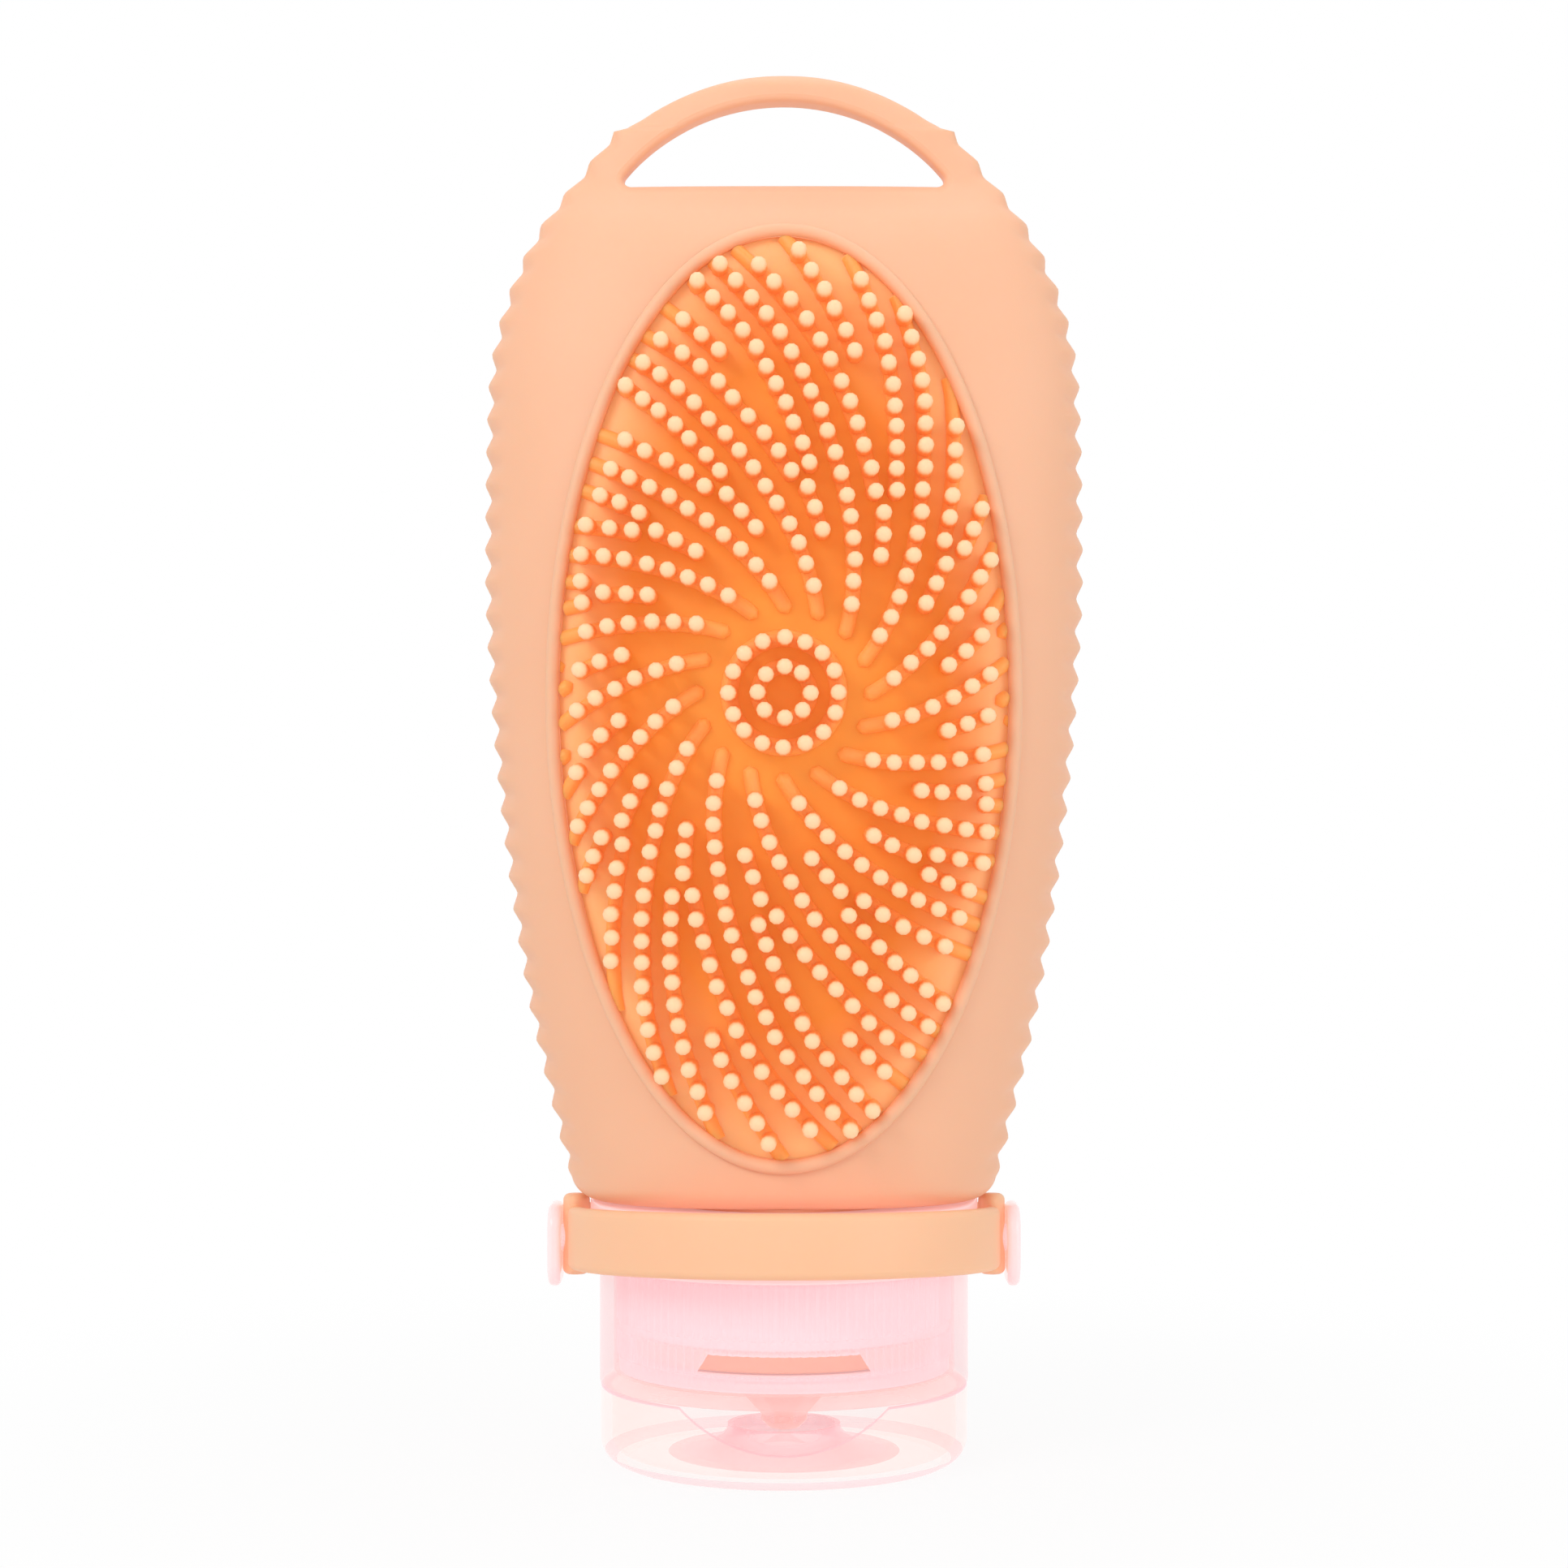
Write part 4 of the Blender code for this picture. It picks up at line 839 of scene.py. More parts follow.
def oval_net(name, wide, high, front, back, material=None):
    """A plate with an oval outline, whose front and back levels are functions of (x, level)."""
    ring_count, points = 24, 176

    def ring(share, surface):
        places = [(share * wide * across, OVAL_LEVEL + share * high * up) for across, up in circle(points)]
        return [(x, -surface(x, level), level) for x, level in places]

    shares = [step / ring_count for step in range(1, ring_count + 1)]
    rings = [[(0, -front(0, OVAL_LEVEL), OVAL_LEVEL)]] + [ring(share, front) for share in shares]
    rings += [ring(share, back) for share in reversed(shares)] + [[(0, -back(0, OVAL_LEVEL), OVAL_LEVEL)]]
    return piece_of_rings(name, rings, material)


def loop_outline(grow):
    """The outline of the loop's opening, with its edge moved outward: ledge, two corners and a wide arc."""
    arc_level = BODY_TOP - LOOP_BAR - LOOP_INNER_RADIUS
    corner_level = LEDGE_LEVEL + LOOP_CORNER_RADIUS
    reach = LOOP_INNER_RADIUS - LOOP_CORNER_RADIUS
    corner_x = math.sqrt(reach**2 - (corner_level - arc_level) ** 2)
    meeting = math.atan2(corner_level - arc_level, corner_x)
    corner_steps, arc_steps, ledge_steps = 10, 48, 20
    half = [(corner_x * step / ledge_steps, LEDGE_LEVEL - grow) for step in range(1, ledge_steps)]
    for step in range(corner_steps):
        angle = -math.pi / 2 + (meeting + math.pi / 2) * step / corner_steps
        radius = LOOP_CORNER_RADIUS + grow
        half.append((corner_x + radius * math.cos(angle), corner_level + radius * math.sin(angle)))
    for step in range(arc_steps):
        angle = meeting + (math.pi / 2 - meeting) * step / arc_steps
        radius = LOOP_INNER_RADIUS + grow
        half.append((radius * math.cos(angle), arc_level + radius * math.sin(angle)))
    top = [(0, arc_level + LOOP_INNER_RADIUS + grow)]
    return [(0, LEDGE_LEVEL - grow)] + half + top + [(-x, level) for x, level in reversed(half)]


def loop_cutter(edge):
    """A spool through the loop's opening, flared at both ends so that it leaves a rounded edge."""
    flare_steps, flare_end = 7, math.radians(80)
    rings = []
    for side in (-1, 1):
        flare = []
        for step in range(flare_steps + 1):
            angle = flare_end * step / flare_steps
            flare.append([
                (x, side * (front_depth(x, level) - edge * (1 - math.sin(angle))), level)
                for x, level in loop_outline(edge * (1 - math.cos(angle)))
            ])
        flare.append([(x, side * BODY_HALF_DEPTH, level) for x, _, level in flare[-1]])
        rings += flare[::-1] if side < 0 else flare
    return piece_of_rings("loop_cutter", rings, capped=True)


def make_bottle_body(sizes):
    rings, outside = body_rings(sizes)
    shape = bmesh.new()
    layer = shape.verts.layers.float.new("side_gap")
    made = net(shape, rings)
    for index, ring in enumerate(made):
        for vert in ring:
            vert[layer] = half_width(vert.co.z) - abs(vert.co.x) if index < outside else BODY_HALF_WIDTH
    body = piece_from("soft_body", shape)
    run_tree(
        body, grip_teeth(), tooth_pitch=sizes.tooth_pitch, tooth_depth=sizes.tooth_depth,
        tooth_reach=sizes.tooth_reach, top_level=SHOULDER_LEVEL,
        floor_level=BODY_FLOOR + BODY_LENGTH * TEETH_FLOOR_SHARE, material=coat("body_skin"),
    )
    pocket = oval_net(
        "pocket_cutter", OVAL_HALF_WIDTH - RIM_WIDTH, OVAL_HALF_HEIGHT - RIM_WIDTH,
        lambda x, level: BODY_HALF_DEPTH + OVERRUN, lambda x, level: front_depth(x, level) - POCKET_DEPTH,
    )
    combine(body, "DIFFERENCE", pocket, loop_cutter(sizes.loop_edge))
    finish_piece(body, "bottle", "body_silicone", "bottle_body")


# Rim bead and brush pad


def face_ring(name, wide, high, rise, points=256):
    """A closed line of edges on the body's front, at an oval round the pad's middle."""
    shape = bmesh.new()
    made = []
    for across, up in circle(points):
        x, level = wide * across, OVAL_LEVEL + high * up
        made.append(shape.verts.new((x, -front_depth(x, level) - rise, level)))
    for start, end in zip(made, made[1:] + made[:1]):
        shape.edges.new((start, end))
    return loose_piece(name, shape)


def round_bead():
    """The tree that turns a line of edges into a round bead."""
    form = geometry_tree("round_bead", {"Geometry": "Geometry", "Bead radius": 0.0006, "Material": "Material"})
    line = form.put("GeometryNodeMeshToCurve", (form["Geometry"],))
    return form.finish(form.tube(line, form["Bead radius"], 16), smooth=True)


def make_rim_bead(sizes):
    radius = sizes.bead_radius
    bead = face_ring(
        "rim_bead", OVAL_HALF_WIDTH - RIM_WIDTH + radius, OVAL_HALF_HEIGHT - RIM_WIDTH + radius, RIM_RISE - radius
    )
    run_tree(bead, round_bead(), bead_radius=radius, material=coat("body_skin"))
    finish_piece(bead, "bottle", "body_silicone")


def swirl_places():
    """The tree that lays one family of swirling rows on the body's front, as points with their row's number."""
    form = geometry_tree("swirl_places", {
        "Rows": 16, "Row share": 0.0, "First radius": 0.012, "Last radius": 0.05, "Step": 0.002, "Phase": 0.0,
        "Sweep": 0.5, "Sweep radius": 0.012, "Half width": 0.025, "Half height": 0.05, "Centre level": 0.09,
        "Rise": 0.0, "Drift": 0.0, "Tail radius": 0.039, "Tail turn": 3.5, "Face": "Object",
    })
    first, step, rows, centre = (form[label] for label in ("First radius", "Step", "Rows", "Centre level"))
    in_row = form.sum("FLOOR", (form["Last radius"] - first) / step) + 1
    index = form.put("GeometryNodeInputIndex")
    row = form.sum("FLOOR", index / in_row)
    radius = first + (index - row * in_row) * step
    angle = (row + form["Row share"]) / rows * math.tau + form["Phase"]
    for start, turn in (("Sweep radius", "Sweep"), ("First radius", "Drift")):
        angle = angle + form.sum("LOGARITHM", radius / form[start], math.e) * form[turn]
    angle = angle + form.sum("MAXIMUM", radius - form["Tail radius"], 0) * form["Tail turn"]
    across, up = radius * form.sum("COSINE", angle), radius * form.sum("SINE", angle)
    points = form.put("GeometryNodePoints", {"Count": in_row * rows, "Position": form.point(across, -1, up + centre)})
    numbered = form.put("GeometryNodeStoreNamedAttribute", {
        "Geometry": points, "Name": "row", "Value": row
    }, data_type="INT", domain="POINT")
    x, _, level = form.position()
    wide, high = x / form["Half width"], (level - centre) / form["Half height"]
    outside = form.put("FunctionNodeCompare", (wide * wide + high * high, 1), operation="GREATER_THAN")
    inside = form.put("GeometryNodeDeleteGeometry", {"Geometry": numbered, "Selection": outside}, domain="POINT")
    face = form.put("GeometryNodeObjectInfo", (form["Face"],), "Geometry")
    hit = form.put("GeometryNodeRaycast", {
        "Target Geometry": face, "Ray Direction": Vector((0, 1, 0)), "Ray Length": 2
    }, "Hit Position")
    lift = form.point(0, form["Rise"] * -1, 0)
    return form.give(form.put("GeometryNodeSetPosition", {"Geometry": inside, "Position": hit, "Offset": lift}))


ROW_INPUTS = {
    "Rows": 16, "Phase": 0.0, "Sweep": 0.5, "Pitch": 0.002, "First radius": 0.012, "Rib start": 0.009,
    "Branch radius": 0.018, "Left fork": 0.025, "Right fork": 0.024, "Far fork": 0.039, "Half width": 0.025,
    "Half height": 0.05, "Centre level": 0.09, "Rise": 0.0, "Face": "Object", "Material": "Material",
}
PLACE_INPUTS = ("Half width", "Half height", "Centre level", "Rise", "Face")


def row_families(form, places, step, main_start, lead=0):
    """The five families of rows, each from its own radius: main, branch, left fork, right fork, far fork.

    The forks drift apart as they run out, which makes room for the far fork between them. All families but the
    main one start further in by the lead.
    """
    far = form["Half height"]
    families = (
        (0, 0, main_start, far),
        (1 / 2, 0, form["Branch radius"] - lead, form["Right fork"] - BRANCH_MARGIN),
        (LEFT_FORK_SHARE, LEFT_FORK_DRIFT, form["Left fork"] - lead, far),
        (RIGHT_FORK_SHARE, RIGHT_FORK_DRIFT, form["Right fork"] - lead, far),
        (1 / 2, 0, form["Far fork"] - lead, far),
    )
    shared = {label: form[label] for label in ("Rows", "Phase", "Sweep", *PLACE_INPUTS)}
    return [
        form.put("GeometryNodeGroup", {
            "Row share": share, "Drift": drift, "First radius": first, "Last radius": last, "Step": step,
            "Sweep radius": form["First radius"], **shared,
        }, node_tree=places)
        for share, drift, first, last in families
    ]


def rib_rows(places):
    """The tree that draws a rounded rib under each row."""
    form = geometry_tree("rib_rows", {**ROW_INPUTS, "Rib radius": 0.0008})
    radius = form["Rib radius"]
    along = form.put("GeometryNodeSplineParameter", (), "Length")
    short = 1 - form.sum("MINIMUM", along / radius, 1)
    width = form.sum("SQRT", BLUNT_END - short * short)
    ribs = []
    for points in row_families(form, places, form["Pitch"] * RIB_STEP_SHARE, form["Rib start"], radius):
        line = form.put("GeometryNodePointsToCurves", {"Points": points, "Curve Group ID": form.named("row", "INT")})
        nosed = form.put("GeometryNodeSetCurveRadius", {"Curve": line, "Radius": width})
        rib = form.tube(nosed, radius, 12, True)
        if "Scale" in rib.socket.node.inputs:
            form.feed(rib.socket.node, {"Scale": width})
        ribs.append(rib)
    return form.finish(form.joined(ribs), smooth=True)


def bristle_rows(places):
    """The tree that stands a bristle on each place of the rows and of the hub's two rings."""
    form = geometry_tree("bristle_rows", {
        **ROW_INPUTS, "Bristle": "Object", "Tilt": 0.02, "Seed": 0, "Hub inner count": 8, "Hub inner radius": 0.003,
        "Hub outer radius": 0.006,
    })
    groups = row_families(form, places, form["Pitch"], form["First radius"])
    for rows, radius in (("Hub inner count", "Hub inner radius"), ("Rows", "Hub outer radius")):
        radii = {label: form[radius] for label in ("First radius", "Last radius", "Sweep radius")}
        groups.append(form.put("GeometryNodeGroup", {
            "Rows": form[rows], "Phase": math.pi / 2, **radii, **{label: form[label] for label in PLACE_INPUTS},
        }, node_tree=places))
    bristle = form.put("GeometryNodeObjectInfo", (form["Bristle"],), "Geometry")
    least, most = (form.point(tilt, tilt, tilt) for tilt in (form["Tilt"] * -1, form["Tilt"]))
    lean = form.put("FunctionNodeRandomValue", {
        0: least, 1: most, "Seed": form["Seed"]
    }, data_type="FLOAT_VECTOR")
    return form.finish(form.put("GeometryNodeInstanceOnPoints", {
        "Points": form.joined(groups), "Instance": bristle, "Rotation": lean
    }))


def bristle_form(length, radius):
    """One bristle along -Y with a domed tip. Its tip_share attribute runs from 0 at the foot to 1 at the tip."""
    dome = radius * DOME_SHARE
    profile = [(0, radius * FOOT_FLARE)]
    profile += [(length - dome / part, radius * wide) for part, wide in DOME_STEPS] + [(length, 0)]
    shape = bmesh.new()
    layer = shape.verts.layers.float.new("tip_share")
    net(shape, [
        [(wide * x, -place, wide * z) for x, z in circle(BRISTLE_SIDES if wide else 1)] for place, wide in profile
    ])
    # tip_share carries the bristles' painted light: shaded orange feet, lit cream tips.
    for vert in shape.verts:
        vert[layer] = -vert.co.y / length
    bristle = piece_from("bristle_form", shape)
    bristle.data.shade_smooth()
    return bristle


def face_sheet():
    """A sheet on the body's front that the rows are laid on, which doesn't stay in the scene."""
    steps = 90
    across, up = (
        [half * SHEET_OVERHANG * (2 * step / steps - 1) for step in range(steps + 1)]
        for half in (OVAL_HALF_WIDTH, OVAL_HALF_HEIGHT)
    )
    shape = bmesh.new()
    net(shape, [
        [(x, -front_depth(x, OVAL_LEVEL + rise), OVAL_LEVEL + rise) for rise in up] for x in across
    ], closed=False)
    return loose_piece("face_sheet", shape)


def make_brush_pad(sizes):
    plate = oval_net(
        "pad_plate", PAD_HALF_WIDTH + GAP, PAD_HALF_HEIGHT + GAP,
        lambda x, level: front_depth(x, level) - FLOOR_SINK,
        lambda x, level: front_depth(x, level) - FLOOR_SINK - PLATE_THICKNESS, coat("pad_skin"),
    )
    # edge_share carries the pad's painted shade: the coat darkens inward from the rim to the bristles.
    edge_share = plate.data.attributes.new("edge_share", "FLOAT", "POINT")
    for vert, item in zip(plate.data.vertices, edge_share.data):
        item.value = math.hypot(vert.co.x / PAD_HALF_WIDTH, (vert.co.z - OVAL_LEVEL) / PAD_HALF_HEIGHT)
    finish_piece(plate, "bottle", "bristle_silicone", "brush_pad")
    rib_radius = sizes.rib_width / 2
    rib_skin = coat("rib_skin")
    for word, radius, width in (
        ("inner", HUB_INNER_RADIUS, rib_radius), ("outer", HUB_OUTER_RADIUS, rib_radius * HUB_OUTER_GROWTH),
    ):
        ring = face_ring(f"hub_{word}_ring", radius, radius, sizes.rib_height - FLOOR_SINK - width, 72)
        run_tree(ring, round_bead(), bead_radius=width, material=rib_skin)
        finish_piece(ring, "bottle", "bristle_silicone")

    sheet = face_sheet()
    source = bristle_form(sizes.bristle_length, sizes.bristle_radius)
    places = swirl_places()
    rows = {name: getattr(sizes, name) for name in (
        "rows", "phase", "sweep", "pitch", "first_radius", "rib_start", "branch_radius", "left_fork", "right_fork",
        "far_fork",
    )}
    rows |= {"centre_level": OVAL_LEVEL, "face": sheet}
    ribs = run_tree(
        empty_piece("bristle_ribs"), rib_rows(places), rib_radius=rib_radius,
        rise=sizes.rib_height - FLOOR_SINK - rib_radius, half_width=PAD_HALF_WIDTH + RIM_WIDTH / 2,
        half_height=PAD_HALF_HEIGHT + RIM_WIDTH / 2, material=rib_skin, **rows,
    )
    finish_piece(ribs, "bottle", "bristle_silicone", sharp=60)
    bristles = run_tree(
        empty_piece("bristles"), bristle_rows(places), bristle=source, tilt=sizes.tilt, seed=sizes.seed,
        rise=-FLOOR_SINK, half_width=PAD_HALF_WIDTH - EDGE_MARGIN, half_height=PAD_HALF_HEIGHT - EDGE_MARGIN,
        hub_inner_count=HUB_INNER_COUNT, hub_inner_radius=HUB_INNER_RADIUS, hub_outer_radius=HUB_OUTER_RADIUS,
        material=coat("bristle_skin"), **rows,
    )
    finish_piece(bristles, "bottle", "bristle_silicone", sharp=60)
    remove(sheet, source)


# Collar and strap


def collar_thread():
    """The tree that winds a screw thread round the collar's tube."""
    form = geometry_tree("collar_thread", {
        "Thread radius": 0.018, "Thread size": 0.0003, "Thread pitch": 0.004, "Height": 0.006, "Floor level": 0.015,
        "Material": "Material",
    })
    radius, height = form["Thread radius"], form["Height"]
    spiral = form.put("GeometryNodeCurveSpiral", {
        "Resolution": 120, "Rotations": height / form["Thread pitch"], "Start Radius": radius, "End Radius": radius,
        "Height": height,
    })
    raised = form.put("GeometryNodeTransform", {
        "Geometry": spiral, "Translation": form.point(0, 0, form["Floor level"])
    })
    return form.finish(form.tube(raised, form["Thread size"], 10, True), smooth=True)


def button_head(side):
    """The flat head of a post: a plate with round corners and rounded edges."""
    edge = HEAD_THICKNESS * HEAD_EDGE_SHARE
    steps = 5
    rings = []
    for face, inward in ((COLLAR_HIGH.x - HEAD_THICKNESS, 1), (COLLAR_HIGH.x, -1)):
        for step in range(steps + 1):
            turn = math.pi / 2 * (step if inward > 0 else steps - step) / steps
            inset = edge * (1 - math.sin(turn))
            outline = rectangle(HEAD_WIDTH / 2 - inset, HEAD_HEIGHT / 2 - inset, HEAD_CORNER - inset, 8)
            x = face + inward * edge * (1 - math.cos(turn))
            rings.append([(side * x, y, POST_LEVEL - HEAD_DROP + z) for y, z in outline])
    return piece_of_rings("head", rings, capped=True)


def make_collar(sizes):
    edge = sizes.edge_radius
    material = coat("clear_collar")
    brim_radius, brim_floor = COLLAR_RADIUS + COLLAR_BRIM, COLLAR_HIGH.z - COLLAR_BRIM_HEIGHT
    inner_wall, plate_floor = COLLAR_RADIUS - COLLAR_WALL, COLLAR_HIGH.z - COLLAR_WALL
    collar = turned("screw_collar", rounded([
        (brim_radius, COLLAR_HIGH.z, edge), (brim_radius, brim_floor, edge),
        (COLLAR_RADIUS, brim_floor - COLLAR_BRIM, edge), (COLLAR_RADIUS, FLANGE_TOP, edge / 2),
        (FLANGE_RADIUS, FLANGE_TOP, edge), (FLANGE_RADIUS, FLANGE_FLOOR, edge),
        (inner_wall, FLANGE_FLOOR, edge / 2), (inner_wall, plate_floor, edge),
        (COLLAR_TUBE_RADIUS, plate_floor, edge), (COLLAR_TUBE_RADIUS, COLLAR_LOW.z, edge),
        (COLLAR_BORE_RADIUS, COLLAR_LOW.z, edge), (COLLAR_BORE_RADIUS, COLLAR_HIGH.z, edge / 2),
    ], closed=True), material)
    start, end = COLLAR_RADIUS - COLLAR_WALL / 2, COLLAR_HIGH.x - HEAD_THICKNESS / 2
    for side in (-1, 1):
        post = rod("post", POST_RADIUS, end - start, (side * (start + end) / 2, 0, POST_LEVEL), (1, 0, 0), 40)
        combine(collar, "UNION", post, button_head(side))
    finish_piece(collar, "bottle", "collar_plastic", "collar")
    thread = run_tree(
        empty_piece("collar_thread"), collar_thread(), thread_radius=COLLAR_TUBE_RADIUS,
        thread_size=sizes.thread_radius, thread_pitch=sizes.thread_pitch,
        height=FLANGE_FLOOR - COLLAR_LOW.z - 4 * sizes.thread_radius,
        floor_level=COLLAR_LOW.z + 2 * sizes.thread_radius, material=material,
    )
    finish_piece(thread, "bottle", "collar_plastic")


def strap_path():
    """Plan points of the band's middle and their outward directions, from one bead round the front to the other."""
    straight_steps, round_steps = 6, 96
    tab = [TAB_LENGTH * (1 - step / straight_steps) for step in range(straight_steps)]
    path = [((STRAP_RADIUS, y), (1, 0)) for y in tab]
    for step in range(round_steps + 1):
        angle = -math.pi * step / round_steps
        out = (math.cos(angle), math.sin(angle))
        path.append(((STRAP_RADIUS * out[0], STRAP_RADIUS * out[1]), out))
    return path + [
        ((-STRAP_RADIUS, TAB_LENGTH * step / straight_steps), (-1, 0)) for step in range(1, straight_steps + 1)
    ]


def make_strap():
    """The band, modelled level about the posts' axis and then tilted to rest."""
    outline = rectangle(STRAP_THICKNESS / 2, STRAP_HEIGHT / 2, STRAP_THICKNESS * STRAP_EDGE_SHARE, 5)
    strap = piece_of_rings("wrist_strap", [
        [(x + across * away_x, y + across * away_y, level) for across, level in outline]
        for (x, y), (away_x, away_y) in strap_path()
    ], coat("strap_skin"), capped=True)
    tip = BEAD_RADIUS * BEAD_TIP_SHARE
    for side in (-1, 1):
        for height, back, rise, depth in (
            (BEAD_HEIGHT, 0, BEAD_RISE, BEAD_DEPTH_SHARE), (TAB_BEAD_HEIGHT, TAB_LENGTH, 0, 1),
        ):
            top = height / 2
            bead = turned("bead", rounded([
                (0, top, 0), (BEAD_RADIUS, top, tip), (BEAD_RADIUS, -top, tip), (0, -top, 0)
            ], steps=6), closed=False, sides=40)
            place = Matrix.Translation((side * STRAP_RADIUS, back, rise))
            bead.data.transform(place @ Matrix.Scale(depth, 4, (0, 1, 0)))
            combine(strap, "UNION", bead)
        hole = rod("hole", POST_RADIUS + GAP, 4 * BEAD_RADIUS, (side * STRAP_RADIUS, 0, 0), (1, 0, 0), 40)
        combine(strap, "DIFFERENCE", hole)
    strap.data.transform(Matrix.Translation((0, 0, POST_LEVEL)) @ Matrix.Rotation(-STRAP_TILT, 4, "X"))
    finish_piece(strap, "strap", "strap_silicone", "strap")


# Cap, sleeve, lid and the pieces inside


def hinge_lug(name, radius, bore, floor):
    """A lug from halfway into the wall at its two ends, so that it joins the wall along its whole width."""
    start = (bore + math.sqrt(radius**2 - (HINGE_WIDTH / 2) ** 2)) / 2
    return block(name, (-HINGE_WIDTH / 2, start, floor), (HINGE_WIDTH / 2, LUG_FACE, floor + LUG_HEIGHT))


def make_cap_base(sizes):
    edge = sizes.edge_radius
    material = coat("clear_cap")
    seat_bore = VALVE_HIGH.x + GAP
    seat_radius = seat_bore + SEAT_WALL
    bore = CAP_RADIUS - CAP_WALL
    base = turned("screw_cap", rounded([
        (CAP_RADIUS, CAP_TOP, edge), (CAP_RADIUS, CAP_FLOOR, edge), (DECK_BORE, CAP_FLOOR, 4 * edge),
        (NOZZLE_BEAD_RADIUS, NOZZLE_BEAD_TOP, edge / 3), (NOZZLE_BEAD_RADIUS, NOZZLE_BEAD_FLOOR, edge / 2),
        (NOZZLE_TIP_RADIUS, NOZZLE_TIP, edge / 2), (NOZZLE_BORE_RADIUS, NOZZLE_TIP, edge / 3),
        (NOZZLE_BORE_RADIUS, NOZZLE_BEAD_TOP, 0), (VALVE_HOLE_RADIUS, DECK_TOP, edge / 2), (seat_bore, DECK_TOP, 0),
        (seat_bore, SEAT_TOP, edge / 2), (seat_radius, SEAT_TOP, edge / 2), (seat_radius, DECK_TOP, edge / 2),
        (bore, DECK_TOP, edge), (bore, CAP_TOP, edge),
    ], closed=True), material)
    combine(base, "UNION", hinge_lug("cap_lug", CAP_RADIUS, bore, CAP_FLOOR))
    # The deck and nozzle faces take the deck copy of the cap plastic, whose stronger painted glow lifts the shade
    # inside the cap.
    base.data.materials.append(coat("clear_deck"))
    for face in base.data.polygons:
        middle = face.center
        if middle.z < DECK_TOP + GAP and math.hypot(middle.x, middle.y) < CAP_RADIUS - CAP_WALL / 2:
            face.material_index = 1
    finish_piece(base, "cap", "cap_plastic", "cap_base")
    web = block("living_hinge", WEB_LOW, WEB_HIGH, (WEB_HIGH.y - WEB_LOW.y) * WEB_EDGE_SHARE)
    web.data.materials.append(material)
    finish_piece(web, "cap", "cap_plastic", "hinge_web")


def knurl():
    """The tree that waves the sleeve's outside to fine ribs, where its rib_share attribute allows them."""
    form = geometry_tree("sleeve_knurl", {
        "Geometry": "Geometry", "Knurl count": 104, "Knurl depth": 0.0003, "Material": "Material",
    })
    x, y, _ = form.position()
    angle = form.sum("ARCTAN2", y, x)
    wave = form.sum("COSINE", angle * form["Knurl count"])
    push = (wave - 1) * 0.5 * form["Knurl depth"] * form.named("rib_share")
    offset = form.point(push * form.sum("COSINE", angle), push * form.sum("SINE", angle), 0)
    return form.finish(form.moved(offset))


def make_thread_sleeve(sizes):
    """The knurled tube, with a plain foot, a groove between two ribbed bands and a window at the front."""
    plain = SLEEVE_RADIUS - sizes.knurl_depth
    foot_top = SLEEVE_LOW.z + SLEEVE_FOOT
    groove_floor = foot_top + LOWER_BAND
    groove_top = groove_floor + GROOVE_HEIGHT
    slope = GROOVE_SLOPE
    levels = (
        (SLEEVE_LOW.z, 0), (foot_top, 0), (foot_top + slope, 1), (groove_floor - slope, 1), (groove_floor, 0),
        (groove_top, 0), (groove_top + slope, 1), (CAP_TOP - slope, 1), (CAP_TOP, 0),
    )
    outline = [(SLEEVE_RADIUS if ribbed else plain, level, ribbed) for level, ribbed in levels]
    outline += [(SLEEVE_BORE_RADIUS, CAP_TOP, 0), (SLEEVE_BORE_RADIUS, SLEEVE_LOW.z, 0)]
    points = 6 * sizes.knurl_count
    shape = bmesh.new()
    layer = shape.verts.layers.float.new("rib_share")
    made = net(shape, [circle_ring(radius, level, points) for radius, level, _ in outline + outline[:1]])
    for (_, _, ribbed), ring in zip(outline, made):
        for vert in ring:
            vert[layer] = ribbed
    bmesh.ops.remove_doubles(shape, verts=shape.verts, dist=MERGE_DISTANCE)
    sleeve = run_tree(
        piece_from("knurled_sleeve", shape), knurl(), knurl_count=sizes.knurl_count, knurl_depth=sizes.knurl_depth,
        material=coat("clear_sleeve"),
    )
    window = prism("window", (
        (-WINDOW_FLOOR_WIDTH / 2, LIP_FLOOR), (WINDOW_FLOOR_WIDTH / 2, LIP_FLOOR),
        (WINDOW_TOP_WIDTH / 2, LIP_TOP), (-WINDOW_TOP_WIDTH / 2, LIP_TOP),
    ), -2 * SLEEVE_RADIUS, 0)
    combine(sleeve, "DIFFERENCE", window)
    finish_piece(sleeve, "cap", "cap_plastic", "thread_sleeve")


